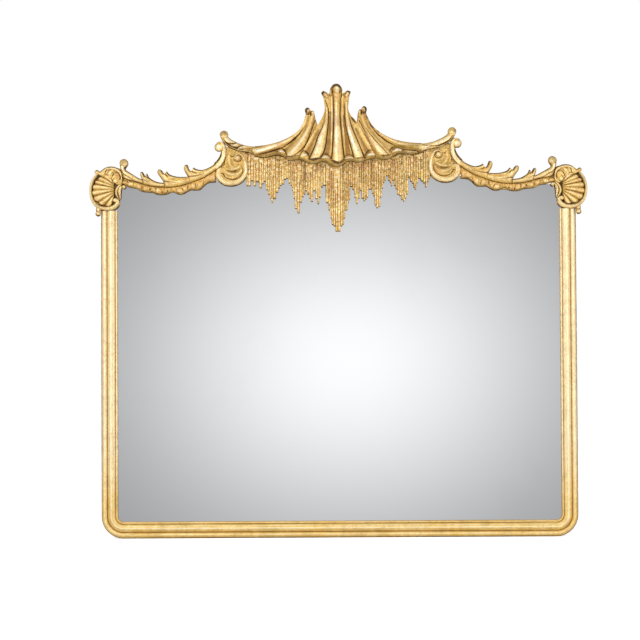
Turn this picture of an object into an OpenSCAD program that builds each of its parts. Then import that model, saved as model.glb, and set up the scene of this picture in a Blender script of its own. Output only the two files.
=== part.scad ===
// Carved giltwood overmantel mirror.
// X runs to the right and Z up. The back plane is y = 0 and the front faces -Y, so a depth of
// d millimetres in front of the back plane is y = -d. Carved outlines are given for the left half
// as [x, z]; the right half mirrors them and stands a little higher, as carved by hand.

/* [Frame] */
// Width over the two stiles
frame_w = 1423; // [1400:1:1440]
// Width of the stile and rail moulding
mould_w = 50; // [48:1:54]
// Depth of the moulding's ground, behind its reeds
ground_d = 28; // [26:1:30]
// Radius of the sight edge in the two lower corners
sight_r = 16; // [12:1:20]
// Height at which the stile moulding stops, under the corner ring
mould_top = 979; // [970:1:979]
// Height of the plain tenon block above the moulding
block_top = 1078; // [1060:1:1080]

/* [Moulding profile] */
// Radius of the outer reed
reed_r = 7.3; // [6:0.1:7.6]
// Radius of the large torus
torus_r = 11.8; // [10:0.1:12]
// Radius of the small bead at the sight edge
bead_r = 2.8; // [2:0.1:3]
// Width of the chamfer on the outer flank
flank_w = 4; // [2:0.5:5]

/* [Plate and back] */
// Thickness of the silvered plate
glass_t = 4; // [3:0.5:5]
// Thickness of the back boards
board_t = 8; // [6:1:8]
// Number of back boards
boards = 5; // [4:1:6]
// Depth of the step that the plate lies against
rebate_d = 24; // [24:1:26]
// Width of the rebate behind the sight edge
rebate_w = 12; // [10:1:14]
// Extra width of the ledge that carries the back boards
ledge_w = 14; // [12:1:16]

/* [Crest] */
// Front of the boards that carry the carving
carve_d = 34; // [34:1:36]
// How much higher the right half of the carving stands
right_rise = 8; // [0:1:9]
// Depth of the canopy's lip in front of the carrying boards
lip_h = 58; // [40:1:64]
// Depth of the canopy's neck in front of the carrying boards
neck_h = 16; // [12:1:20]
// Distance between the icicles
icicle_pitch = 7; // [6:0.5:8]

/* [Hangers] */
// Height of the hanger pins
hanger_z = 900; // [800:10:960]
// Distance of the hangers from the side of the frame
hanger_in = 15; // [14:0.5:16]
// Radius of the ring wire
wire_r = 1.55; // [1.4:0.05:1.6]
// Radius of the ring's bend
ring_r = 15; // [13:1:18]

/* [Hidden] */

half_w = frame_w / 2;
sight_x = half_w - mould_w;
corner_r = sight_r + mould_w;
rebate_x = sight_x + rebate_w;
ledge_x = rebate_x + ledge_w;
rebate_z = mould_w - rebate_w;
ledge_z = rebate_z - ledge_w;
slip = 2;
touch = 0.3;
gilt = "goldenrod";
pine = "burlywood";

// Top edge of the plate's pocket, a shaped line behind the carving
plate_top = [[0, 1108], [280, 1106], [350, 1087], [430, 1060], [520, 1051], [600, 1054], [700, 1058]];

// Line where the leaves of the sweep meet the rockwork under them
ridge_line = [
    [-646, 1071], [-630, 1071], [-615, 1067], [-600, 1063], [-584, 1058], [-570, 1054], [-555, 1051],
    [-537, 1049], [-505, 1048], [-490, 1049], [-468, 1053], [-449, 1059], [-420, 1069], [-402, 1076],
    [-385, 1086], [-366, 1099], [-350, 1112]
];

// Broken lower edge of the rockwork
rock_line = [
    [-640, 1052], [-622, 1047], [-605, 1046], [-588, 1037], [-572, 1035], [-556, 1033], [-546, 1029],
    [-536, 1027], [-524, 1027], [-513, 1029], [-497, 1035], [-482, 1029], [-470, 1028], [-460, 1031],
    [-444, 1040], [-428, 1040], [-414, 1042], [-398, 1056], [-388, 1062], [-368, 1064]
];

// Groups of icicles, as [x, z] of the lowest tip and how steeply the group rises to its left and right
icicle_tips = [
    [-270, 1053, 0.3, 0.3], [-250, 1053, 0.4, 0.4], [-231, 1046, 0.3, 0.5], [-199, 1002, 0.17, 0.09],
    [-162, 1057, 0.2, 0.3], [-120, 970, 0.24, 0.13], [-80, 1004, 0.14, 0.5], [-60, 997, 0.4, 0.45],
    [0, 914, 0.09, 0.095], [56, 997, 0.5, 0.45], [78, 1005, 0.3, 0.2], [117, 984, 0.25, 0.22],
    [160, 1050, 0.3, 0.6], [197, 1003, 0.07, 0.3], [232, 1038, 0.3, 0.4], [264, 1045, 0.13, 0.3]
];

// Lowest points of the curtain between its groups
icicle_gaps = [
    [-276, 1062], [-245, 1062], [-151, 1073], [-96, 1037], [-42, 1050], [39, 1049], [69, 1037], [95, 1040],
    [147, 1080], [213, 1073], [243, 1071], [276, 1073]
];

// Scalloped lip of the canopy: the centre, and the wing of each side as seen on the left
centre_lip = [
    [-116, 1134], [-108, 1132], [-98, 1127], [-89, 1121.5], [-79, 1120], [-68, 1121], [-57, 1124],
    [-48, 1126.5], [-38, 1125.5], [-28, 1119], [-18, 1114], [-5, 1112.5], [8, 1115], [18, 1120], [27, 1126],
    [37, 1127], [48, 1125], [58, 1124], [68, 1125], [79, 1129], [90, 1133], [101, 1135], [112, 1136]
];
left_lip = [
    [-250, 1169], [-249.8, 1154], [-249.5, 1141], [-232, 1139], [-215, 1140], [-200, 1143], [-188, 1146],
    [-176, 1146], [-166, 1142], [-158, 1136], [-148, 1131], [-138, 1131], [-128, 1132], [-116.3, 1133.7]
];
right_lip = [
    [-250, 1176], [-249.8, 1163], [-249.5, 1151], [-234, 1147], [-218, 1146], [-203, 1147], [-190, 1149],
    [-178, 1148], [-167, 1142], [-156, 1135], [-146, 1132], [-136, 1132], [-125, 1133], [-112.3, 1135.7]
];

board_h = (plate_top[6][1] - ledge_z) / boards;
screw_rows = [for (b = [0:boards - 1]) for (s = [0.25, 0.75]) board_low(b) + s * board_h];

function board_low(b) = ledge_z + b * board_h;

// ---- curves and surfaces

// Smooth curve through four neighbours
function between(a, b, c, d, t) =
    0.5 * (2 * b + (c - a) * t + (2 * a - 5 * b + 4 * c - d) * t * t + (3 * b - a - 3 * c + d) * t * t * t);

// Point at t, from 0 to 1, along a smooth curve through the points p
function along(p, t) =
    let (n = len(p) - 1, i = min(floor(t * n), n - 1))
    between(p[max(i - 1, 0)], p[i], p[i + 1], p[min(i + 2, n)], t * n - i);

// Patch whose rungs run straight from its west to its east edge and bow out to the south edge at
// v = 0 and to the north edge at v = 1; both bows fade quickly towards the middle
function patch(south, north, west, east, u, v) =
    let (a = along(west, v), b = along(east, v), n = len(south) - 1, m = len(north) - 1)
    a + (b - a) * u + (1 - v) ^ 2 * (along(south, u) - south[0] - (south[n] - south[0]) * u)
    + v ^ 4 * (along(north, u) - north[0] - (north[m] - north[0]) * u);

// Strip between a low and a high edge
function strip(low, high, u, v) = (1 - v) * along(low, u) + v * along(high, u);

function ridge(x) = lookup(x, ridge_line);
function bump(t) = sin(180 * t);

// Points of a foot line on the ridge, and a table turned into points
function on_ridge(xs) = [for (x = xs) [x, ridge(x) + touch]];

// How far a piece of the right half is raised, fading out at the corner
function rise(x) = lookup(x, [[-660, 0], [-600, 0.7 * right_rise], [-340, right_rise], [-240, 0.8 * right_rise]]);
function raised(p, side) = side < 0 ? p : [for (q = p) [q[0], q[1] + rise(q[0])]];

// A solid with a carved front and a flat back. place(u, v) gives [x, z] and depth(u, v) the height
// of the front over the carrying boards. Where the lines along v are straight, the back needs only
// their two ends.
module carved(nu, nv, place, depth, straight = true) {
    nb = straight ? 1 : nv;
    front = [for (i = [0:nu]) for (j = [0:nv]) let (p = place(i / nu, j / nv))
        [p[0], -carve_d - depth(i / nu, j / nv), p[1]]];
    back = [for (i = [0:nu]) for (j = [0:nb]) let (p = place(i / nu, j / nb)) [p[0], -carve_d, p[1]]];
    f = function(i, j) i * (nv + 1) + j;
    b = function(i, j) len(front) + i * (nb + 1) + j;
    // the back point that stands opposite a front point of an end
    o = function(i, j) b(i, straight ? (j < nv / 2 ? 0 : 1) : j);
    faces = [
        for (i = [0:nu - 1]) for (j = [0:nv - 1])
            each [[f(i, j), f(i, j + 1), f(i + 1, j + 1)], [f(i, j), f(i + 1, j + 1), f(i + 1, j)]],
        for (i = [0:nu - 1]) for (j = [0:nb - 1])
            each [[b(i, j), b(i + 1, j + 1), b(i, j + 1)], [b(i, j), b(i + 1, j), b(i + 1, j + 1)]],
        for (i = [0:nu - 1])
            each [[f(i, 0), f(i + 1, 0), b(i + 1, 0)], [f(i, 0), b(i + 1, 0), b(i, 0)],
                [f(i + 1, nv), f(i, nv), b(i, nb)], [f(i + 1, nv), b(i, nb), b(i + 1, nb)]],
        for (j = [0:nv - 1])
            each [[f(0, j + 1), f(0, j), o(0, j)], [f(nu, j), f(nu, j + 1), o(nu, j)]],
        for (j = [0:nv - 1]) if (o(0, j) != o(0, j + 1))
            each [[f(0, j + 1), o(0, j), o(0, j + 1)], [f(nu, j + 1), o(nu, j + 1), o(nu, j)]]
    ];
    polyhedron(concat(front, back), faces);
}

// A solid skin over equal rings of points
module skin(rings) {
    k = len(rings[0]);
    n = len(rings);
    sides = [for (i = [0:n - 2]) for (j = [0:k - 1])
        let (a = i * k + j, b = i * k + (j + 1) % k, c = a + k, d = b + k)
        each [[a, d, b], [a, c, d]]];
    start = [for (j = [1:k - 2]) [0, j, j + 1]];
    last = (n - 1) * k;
    end = [for (j = [1:k - 2]) [last, last + j + 1, last + j]];
    polyhedron([for (r = rings) each r], concat(sides, start, end));
}

// A rounded band along a curve. Each point of the path is [x, z, half width, height]. The first ring
// can be turned to meet a joint that isn't square to the curve.
module band(path, facets = 4, steps = 2, edge = 2, first = undef) {
    n = steps * (len(path) - 1);
    c = [for (i = [0:n]) along(path, i / n)];
    angle = function(i) let (a = c[max(i - 1, 0)], b = c[min(i + 1, n)]) atan2(b[1] - a[1], b[0] - a[0]);
    rings = [for (i = [0:n])
        let (q = c[i], w = max(q[2], 0.4), h = max(q[3], 0.6),
            t = is_undef(first) || i > 2 ? angle(i) : first + (angle(3) - first) * i / 3)
        [for (k = [-1:facets + 1])
            let (s = min(max(k, 0), facets) * 180 / facets,
                d = (k < 0 || k > facets) ? 0 : edge + h * sin(s))
            [q[0] - w * cos(s) * sin(t), -carve_d - d, q[1] + w * cos(s) * cos(t)]]];
    skin(rings);
}

// The last points of a path that swells into a ball, entered at the given angle
function ball(x, z, r, h, angle) = [for (t = [-0.92, -0.55, 0, 0.55, 0.94])
    [x + r * t * cos(angle), z + r * t * sin(angle), r * sqrt(1 - t * t), h * sqrt(1 - t * t)]];

function reversed(p) = [for (i = [len(p) - 1:-1:0]) p[i]];

// Stands an outline drawn in x and z between two depths
module slab(d0, d1) {
    translate([0, -d0, 0]) rotate([90, 0, 0]) linear_extrude(d1 - d0) children();
}

module both(side) {
    mirror([side > 0 ? 1 : 0, 0, 0]) children();
}

// ---- moulded frame

// Section of the moulding: x runs from the outer edge to the sight edge, y is the depth
module moulding_section() {
    difference() {
        union() {
            polygon([[0, 0], [mould_w, 0], [mould_w, ground_d], [flank_w, ground_d], [0, ground_d - 8]]);
            translate([flank_w + reed_r, ground_d + 1]) circle(reed_r, $fn = 64);
            translate([mould_w - 19, ground_d]) circle(torus_r, $fn = 64);
            translate([mould_w - 3.8, ground_d + 1]) circle(bead_r, $fn = 48);
        }
        translate([mould_w - rebate_w, -1]) square([rebate_w + 1, rebate_d + 1]);
        translate([mould_w - rebate_w - ledge_w, -1]) square([ledge_w + 1, board_t + 1]);
    }
}

module backboard_screw_holes() {
    for (x = [-1, 1]) for (z = screw_rows)
        translate([x * (rebate_x + ledge_w / 2), 0, z]) rotate([90, 0, 0]) cylinder(20, r = 1.75, $fn = 24);
}

module hanger_screw_holes() {
    for (x = [-1, 1]) for (z = [-24, -42])
        translate([x * (half_w - hanger_in), 1, hanger_z + z]) rotate([90, 0, 0]) cylinder(15, r = 1.75, $fn = 24);
}

module stile(side) {
    color(gilt) difference() {
        both(side) {
            translate([-half_w, 0, corner_r]) linear_extrude(mould_top - corner_r)
                mirror([0, 1, 0]) moulding_section();
            difference() {
                translate([-half_w, -rebate_d, mould_top]) cube([mould_w, rebate_d, block_top - mould_top]);
                slab(-1, board_t) back_pocket();
                slab(board_t, rebate_d + 1) plate_pocket();
            }
        }
        backboard_screw_holes();
        hanger_screw_holes();
    }
}

module rail_bottom() {
    color(gilt) translate([corner_r - half_w, 0, 0]) rotate([0, 90, 0]) rotate([0, 0, 180])
        linear_extrude(frame_w - 2 * corner_r) moulding_section();
}

module corner_block(side) {
    color(gilt) both(side) translate([corner_r - half_w, 0, corner_r])
        rotate([90, 0, 0]) rotate([0, 0, 180]) rotate_extrude(angle = 90, $fn = 120)
            translate([corner_r, 0]) mirror([1, 0]) moulding_section();
}

// ---- plate and back

// Outline under the shaped top edge, from the given low line out to the given half width, with its
// lower corners rounded about the same centre as the corner blocks
module pocket_outline(w, low, drop) {
    corner_x = half_w - corner_r;
    r = w - corner_x;
    corner = [for (a = [0:10:90]) [corner_x + r * sin(a), low + r - r * cos(a)]];
    edge = [for (p = plate_top) if (p[0] < w) [p[0], p[1] - drop], [w, lookup(w, plate_top) - drop]];
    right = concat(corner, [for (i = [len(edge) - 1:-1:0]) edge[i]]);
    polygon(concat(right, [for (i = [len(right) - 2:-1:0]) [-right[i][0], right[i][1]]]));
}

module plate_pocket() pocket_outline(rebate_x, rebate_z, 0);
module back_pocket() pocket_outline(ledge_x, ledge_z, 0);

module mirror_glass() {
    color("silver") slab(rebate_d - glass_t, rebate_d) pocket_outline(rebate_x - slip, rebate_z + slip, slip);
}

// Board with square ends; only the lowest one follows the rounded corners of the pocket
module backboard(b) {
    low = board_low(b) + touch;
    high = b == boards - 1 ? 1200 : board_low(b + 1);
    color(pine) difference() {
        slab(0, board_t) intersection() {
            pocket_outline(ledge_x - touch, ledge_z + touch, touch);
            translate([-half_w, low]) square([frame_w, high - low]);
        }
        backboard_screw_holes();
        for (x = [-1, 1]) for (z = screw_rows)
            translate([x * (rebate_x + ledge_w / 2), 0, z]) rotate([90, 0, 0])
                cylinder(2.5, r1 = 4, r2 = 1.75, $fn = 32);
    }
}

// Countersunk screw: the head lies flush with the back of the board
module backboard_screw_set() {
    color("dimgray") for (x = [-1, 1]) for (z = screw_rows)
        translate([x * (rebate_x + ledge_w / 2), 0, z]) rotate([90, 0, 0]) {
            cylinder(2.5, r1 = 4, r2 = 1.75, $fn = 32);
            cylinder(18, r = 1.75, $fn = 24);
        }
}

// Small blocks that press the plate forward against the rebate
module glazing_block_set() {
    block = [9, rebate_d - glass_t - board_t, 45];
    color(pine) {
        for (z = [120:210:970]) for (x = [-1, 1])
            translate([x * (rebate_x - slip - block[0] / 2) - block[0] / 2, glass_t - rebate_d, z]) cube(block);
        for (x = [-560:280:560])
            translate([x - block[2] / 2, glass_t - rebate_d, rebate_z + slip]) cube([block[2], block[1], block[0]]);
    }
}

// ---- boards that carry the crest

module carrying_board() {
    difference() {
        slab(0, carve_d) children();
        slab(-1, board_t) back_pocket();
        slab(board_t - 0.01, rebate_d) plate_pocket();
    }
}

// Outline of the side board: a band along the ridge, with the ground of the cartouche at its end
module side_board_outline() {
    xs = [-sight_x + 7, -630, -610, -584, -555, -521, -490, -449, -420, -392, -368];
    low = [for (x = xs) [x, ridge(x) - 15]];
    high = [for (x = xs) [x, ridge(x) + 11]];
    polygon(concat(low, [[-352, 1067], [-320, 1057], [-286, 1067], [-264, 1088], [-264, 1160],
        [-330, 1166], [-341, 1158], [-352, 1126]], reversed(high)));
}

module side_board(side) {
    color(pine) both(side) carrying_board()
        translate([0, side > 0 ? right_rise / 2 : 0]) side_board_outline();
}

module centre_board() {
    color(pine) carrying_board()
        polygon([[-263.5, 1095], [263.5, 1095], [263.5, 1160], [195, 1168], [120, 1196], [60, 1224],
            [-60, 1224], [-120, 1196], [-195, 1164], [-263.5, 1160]]);
}

// ---- corner medallion

medallion = [-688, 1041];

module medallion_plate() {
    color(gilt) slab(rebate_d, carve_d) {
        intersection() {
            translate(medallion) circle(55, $fn = 96);
            translate([-800, mould_top + touch]) square([800 - sight_x + 6.5, 200]);
        }
        translate([-724, 968]) square([12, 35]);
    }
}

// The C-scroll round the shell, ending in a small ball over the inner edge of the stile
module medallion_ring() {
    path = concat([[-721, 1088, 3, 8], [-729, 1077, 4.5, 13], [-738, 1058, 4.8, 15], [-740.5, 1036, 4.8, 16],
        [-736.5, 1014, 4.8, 16], [-725, 996, 5, 16], [-706, 986.5, 5, 16], [-686, 986.5, 5.2, 16],
        [-670, 993.5, 6, 15], [-662.5, 1003, 4, 13]], ball(-668.5, 1010, 5.6, 14, 150));
    color(gilt) band(path);
}

// Scallop shell: ribs fan out from a hub, each with its own spread and length
module medallion_shell() {
    hub = [-669, 1036];
    rib_angle = [[0, 112], [1, 126], [2, 138], [3, 149], [4, 162], [5, 177], [6, 194], [7, 217], [8, 241],
        [9, 258]];
    rib_length = [[0, 36], [1, 46], [2, 56], [3, 60], [5, 63], [6, 60], [7, 52], [8, 43], [9, 38]];
    ribs = len(rib_angle) - 1;
    crest = function(u) abs(sin(180 * ribs * u));
    place = function(u, v)
        let (s = ribs * (1 - u), a = lookup(s, rib_angle), r = 5 + (lookup(s, rib_length) - 8 + 3 * crest(u)) * v)
        hub + r * [cos(a), sin(a)];
    depth = function(u, v) 4 + 20 * sin(20 + 140 * v) * (1 - 0.4 * v) + 6 * crest(u) * v;
    color(gilt) carved(4 * ribs, 3, place, depth);
}

// Leaf that arches over the shell, from the ear at its left to the volute
module medallion_leaf() {
    low = [[-729, 1094], [-722, 1090], [-711, 1084.5], [-702, 1083.5], [-694, 1086], [-687, 1078],
        [-680, 1075], [-675.5, 1083], [-669.5, 1092.5], [-662, 1096], [-655, 1094]];
    high = [[-728, 1099], [-722, 1101], [-711, 1097], [-702, 1104], [-693, 1109], [-684, 1111.5],
        [-676, 1111.5], [-670, 1110.5], [-664, 1109], [-659, 1107], [-655, 1104]];
    place = function(u, v) strip(low, high, u, v);
    depth = function(u, v) 5 + 16 * bump(v) * (0.5 + 0.5 * bump(u)) + 3 * sin(720 * u) * bump(v) * u;
    color(gilt) carved(20, 3, place, depth);
}

module medallion_volute() {
    path = concat([[-672, 1080, 2, 8], [-669, 1087, 3.6, 14], [-661, 1089.5, 4, 17], [-654.5, 1083, 4, 18],
        [-654, 1074, 3.4, 18], [-657.5, 1068.5, 2.4, 18]], ball(-666, 1068, 6, 20, 175));
    color(gilt) band(path);
}

// Crescent between the shell and the plate, with a bud at its upper end
module medallion_crescent() {
    path = concat(reversed(ball(-641, 1051, 4, 10, 330)), [[-650, 1055.5, 2.6, 9], [-657.5, 1052, 4, 11],
        [-661.5, 1044, 5.2, 12], [-662, 1034, 5.6, 12], [-659.5, 1024, 4.4, 11], [-656, 1015, 1.6, 8]]);
    color(gilt) band(path);
}

// Small leaf that curls out beside the stile under the ring
module medallion_ear() {
    path = concat([[-716, 979.5, 3, 8]], ball(-718, 973, 5, 12, 250));
    color(gilt) band(path);
}

// ---- swept leaves

// Height across a leaf: a raised middle, a fluted upper half and a tip that curls forward
function leaf_height(u, v, tip) = 4 + 13 * bump(v) ^ 0.8 + 3 * bump(3 * v) + tip * (1 - min(4 * u, 1)) ^ 2;

module sweep_leaf(low, high, nu, tip) {
    place = function(u, v) strip(low, high, u, v);
    color(gilt) carved(nu, 4, place, function(u, v) leaf_height(u, v, tip));
}

// From the ball finial at the corner down into the sweep
module sweep_end(side) {
    low = [[-644, 1136], [-652, 1129], [-653.5, 1121], [-652.5, 1113], [-651, 1106], [-649, 1096],
        [-647.5, 1086], [-642, 1077], each on_ridge([-630, -615, -600, -588])];
    high = [[-638, 1136], [-628, 1129], [-627, 1121], [-633, 1114], [-641, 1107], [-641, 1102],
        [-633, 1097], [-622, 1091], [-611, 1084], [-603, 1079], [-596, 1075], [-588, 1072]];
    both(side) sweep_leaf(raised(low, side), raised(high, side), 20, 10);
}

module sweep_outer_leaf(side) {
    low = [[-590, 1094], [-592.5, 1086], [-585.4, 1066], [-584.8, 1060],
        each on_ridge([-582, -573, -561, -548, -536, -524])];
    high = [[-585, 1095], [-581, 1089], [-577, 1082], [-572, 1090], [-566, 1079], [-557, 1072],
        [-549, 1067.5], [-540, 1064.5], [-532, 1063], [-524, 1062.2]];
    both(side) sweep_leaf(raised(low, side), raised(high, side), 20, 16);
}

// The two inner leaves are carved from one piece
module sweep_inner_leaves(side) {
    low_b = [[-537, 1101], [-541, 1095], [-538, 1086], [-530, 1075], [-525, 1067], [-521.5, 1057],
        each on_ridge([-519, -508, -493, -479, -465, -449.3])];
    high_b = [[-532, 1102], [-527, 1098], [-523, 1092], [-519, 1089], [-513, 1096], [-507, 1089],
        [-500, 1085], [-490, 1082], [-480, 1080], [-470, 1079.5], [-459, 1079.5], [-449.3, 1080]];
    low_c = [[-458, 1114], [-462, 1106], [-458, 1093], [-449, 1077], [-448.8, 1065],
        each on_ridge([-447, -437, -424, -410, -396, -382, -366.3])];
    high_c = [[-451, 1116], [-448, 1109], [-445, 1101], [-439, 1097], [-433, 1107], [-427, 1104],
        [-418, 1101], [-407, 1100], [-396, 1103], [-385, 1108], [-375, 1114], [-366.3, 1122]];
    both(side) {
        sweep_leaf(raised(low_b, side), raised(high_b, side), 22, 16);
        sweep_leaf(raised(low_c, side), raised(high_c, side), 22, 16);
    }
}

// Wavy strip of rockwork along the lower edge of the sweep
module rockwork(side) {
    x0 = -634;
    x1 = -367;
    up = function(x) side < 0 ? 0 : rise(x);
    place = function(u, v)
        let (x = x0 + (x1 - x0) * u)
        [x, (1 - v) * lookup(x, rock_line) + v * (ridge(x) - touch) + up(x)];
    depth = function(u, v)
        2.5 + 7 * bump(0.15 + 0.7 * v) * (0.75 + 0.25 * sin(2300 * u)) + 2.5 * sin(1500 * u + 200 * v);
    both(side) color(gilt) carved(38, 3, place, depth);
}

// ---- cartouche

// Strap that runs up out of the sweep and rolls over into a ball
module scroll_strap(side) {
    path = concat([[-365.8, 1110.8, 10.8, 12], [-354, 1122, 9.5, 14], [-345, 1138, 8, 15],
        [-341, 1152, 5.6, 16], [-341, 1162, 4.4, 16], [-343.5, 1170.5, 4.2, 17]],
        ball(-358.5, 1169, 11, 20, 195));
    up = side < 0 ? 0 : right_rise;
    color(gilt) both(side) translate([0, 0, up]) band(path, facets = 6, first = 0);
}

module cartouche_scroll(side) {
    path = concat(reversed(ball(-302, 1134, 6.5, 12, 330)), [[-310, 1142, 3, 12], [-303, 1148, 3, 13],
        [-291, 1147, 3.4, 14], [-282, 1135, 5, 15], [-277.5, 1119, 6, 15], [-276.5, 1102, 6.5, 15],
        [-280, 1086, 7, 15], [-289, 1073, 7.5, 15], [-304, 1064, 8, 15], [-321, 1061, 8.5, 15],
        [-337, 1064, 8.5, 15], [-350, 1073, 8, 14], [-358, 1086, 7.5, 13], [-357, 1098, 6, 12],
        [-348, 1103, 4, 10]]);
    up = side < 0 ? 0 : right_rise;
    color(gilt) both(side) translate([0, 0, up]) band(path);
}

// Drooping petals inside the scroll
module cartouche_petals(side) {
    petals = [
        [[-328, 1147, 2, 5], [-330, 1131, 4, 9], [-329, 1117, 5, 10], [-320, 1107, 3, 6]],
        [[-317, 1141, 2, 5], [-321, 1126, 5, 9], [-315, 1113, 5.5, 10], [-303, 1107, 3, 6]],
        [[-300, 1119, 2.5, 5], [-291, 1113, 3, 7], [-288, 1104, 2, 5]],
        [[-343, 1091, 2, 4], [-331, 1094, 5, 9], [-317, 1092, 6, 10], [-300, 1096, 3, 6]],
        [[-336, 1080, 2, 4], [-324, 1078, 4, 8], [-308, 1077, 4.5, 8], [-293, 1086, 2.5, 5]]
    ];
    up = side < 0 ? 0 : right_rise;
    color(gilt) both(side) translate([0, 0, up]) for (p = petals) band(p, facets = 3);
}

// ---- canopy

// Bell curve from the lip, at v = 0, to the neck
function bell(v) = neck_h + (lip_h - neck_h) * (1 - v) ^ 1.7;

// Height of ribs and hollows across the fan: rib edges is a list of places of the valleys
function fluting(u, edges, rib, hollow) =
    let (i = max([for (k = [0:len(edges) - 2]) if (u >= edges[k]) k]),
        f = (u - edges[i]) / (edges[i + 1] - edges[i]))
    (i % 2 == 0 ? -hollow : rib) * bump(min(max(f, 0), 1));

module canopy_centre_piece() {
    plume = [[-50, 1329], [-44, 1335], [-34, 1331], [-26, 1327], [-23, 1341], [-15, 1353], [-4, 1357],
        [6, 1352.5], [13, 1341], [16.5, 1328], [28, 1336], [39, 1333]];
    left = [[-116, 1134], [-88, 1183], [-60, 1231], [-46, 1257], [-39.5, 1280], [-41, 1303], [-44, 1317],
        [-50, 1329]];
    right = [[112, 1136], [86, 1184], [55, 1240], [40, 1258], [31, 1280], [32.5, 1302], [34.5, 1318],
        [39, 1333]];
    valleys = [0, 3, 7, 9.5, 13.5, 16, 19, 22] / 22;
    place = function(u, v) patch(centre_lip, plume, left, right, u, v);
    depth = function(u, v) bell(min(v / 0.85, 1)) + fluting(u, valleys, 9, 5) * (1 - 0.5 * v)
        + 9 * max(v - 0.85, 0) / 0.15;
    color(gilt) carved(44, 6, place, depth, false);
}

module canopy_wing(side) {
    lip = side < 0 ? left_lip : right_lip;
    tip = side < 0
        ? [[-93, 1285], [-86, 1286], [-79, 1279], [-72, 1278], [-68, 1268], [-66, 1250], [-60.3, 1231]]
        : [[-83, 1285], [-77, 1290], [-69, 1284], [-61, 1280], [-60, 1264], [-58, 1250], [-55.3, 1240]];
    top = side < 0
        ? [[-250, 1169], [-215, 1171.5], [-180, 1180], [-148, 1194], [-122, 1211], [-106, 1233],
            [-99, 1257], [-96.5, 1274], [-93, 1285]]
        : [[-250, 1176], [-215, 1177], [-180, 1183.5], [-146, 1196], [-118, 1214], [-100, 1233],
            [-90, 1255], [-84, 1272], [-83, 1285]];
    valley = side < 0
        ? [[-116.3, 1133.7], [-88.3, 1183], [-60.3, 1231]]
        : [[-112.3, 1135.7], [-86.3, 1184], [-55.3, 1240]];
    valleys = [0, 0.9, 1.8, 4.6, 8.7, 11, 13] / 13;
    place = function(u, v) patch(lip, tip, top, valley, u, v);
    depth = function(u, v) bell(v) * (0.55 + 0.45 * min(2 * u, 1)) + fluting(u, valleys, 8, 4) * (1 - 0.3 * v);
    color(gilt) both(side) carved(26, 5, place, depth, false);
}

// Twisted end of the canopy, rolled up into a ball
module canopy_end(side) {
    low = [[-251.4, 1141.5], [-257, 1147], [-267, 1150.5], [-280, 1152], [-297, 1155], [-315, 1161],
        [-330, 1170], [-342, 1181], [-350, 1192], [-354, 1203], [-352, 1212], [-344, 1219]];
    high = [[-251.4, 1169], [-257, 1169.5], [-267, 1170.5], [-280, 1173.5], [-294, 1178], [-307, 1184],
        [-318, 1190], [-325, 1196], [-328, 1201], [-326, 1207], [-328, 1214], [-337, 1219.5]];
    up = side < 0 ? 0 : 0.85 * right_rise;
    place = function(u, v) strip(low, high, 1 - u, v) + [0, up];
    depth = function(u, v)
        let (s = 1 - u) 8 + 22 * bump(0.1 + 0.8 * v) * (1 - 0.45 * bump(min(s / 0.8, 1)))
            + 5 * (1 - v) * bump(s) + 6 * max(s - 0.8, 0);
    color(gilt) both(side) carved(24, 4, place, depth);
}

// ---- icicles

// Repeatable scatter between -1 and 1
function scatter(k) = sin(k * 137.5) * cos(k * 71.3);

// How far down the icicle at x reaches
function icicle_end(x, k) =
    5 * scatter(k) + min(lookup(x, icicle_gaps),
        min([for (t = icicle_tips) t[1] + (x < t[0] ? t[2] : t[3]) * (x - t[0]) ^ 2]));

// The curtain's top edge, close under the lip
curtain_top = concat([[-276, 1149], [-250.3, 1140]], [for (p = left_lip) if (p[0] > -249.6) p],
    [for (p = centre_lip) p], [for (i = [len(right_lip) - 1:-1:2]) [-right_lip[i][0], right_lip[i][1]]],
    [[250.3, 1147], [276, 1156]]);
function lip_over(x) = lookup(x, curtain_top) - 1.5;

// A curtain of upright bars side by side: each bar has a valley and a flat crest
module icicles(x0, x1) {
    n = round((x1 - x0) / icicle_pitch);
    pitch = (x1 - x0) / n;
    bar_w = 0.6 * pitch;
    // outline points as [x, lower end, height]
    cols = [
        [x0, icicle_end(x0, 0) + 3, 3],
        for (k = [0:n - 1])
            let (x = x0 + k * pitch, e = icicle_end(x + pitch / 2, k), e2 = icicle_end(x + pitch * 1.5, k + 1))
            each [[x + (pitch - bar_w) / 2, e, 9 + 2 * scatter(3 * k)],
                [x + (pitch + bar_w) / 2, e, 9 + 2 * scatter(3 * k)],
                [x + pitch, k == n - 1 ? e + 3 : max(e, e2) + 3, 3]]
    ];
    m = len(cols);
    rows = function(c, back) let (d = -carve_d - (back ? 0 : c[2]))
        [[c[0], d, c[1]], [c[0], d, lip_over(c[0])]];
    pts = [for (c = cols) each concat(rows(c, false), rows(c, true))];
    faces = [
        for (i = [0:m - 2]) let (a = 4 * i, b = 4 * i + 4)
            each [[a, a + 1, b + 1], [a, b + 1, b], [a + 2, b + 3, a + 3], [a + 2, b + 2, b + 3],
                [a, b, b + 2], [a, b + 2, a + 2], [a + 1, b + 3, b + 1], [a + 1, a + 3, b + 3]],
        [0, 2, 3], [0, 3, 1],
        each let (e = 4 * (m - 1)) [[e, e + 1, e + 3], [e, e + 3, e + 2]]
    ];
    color(gilt) polyhedron(pts, faces);
}

// ---- hangers

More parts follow.
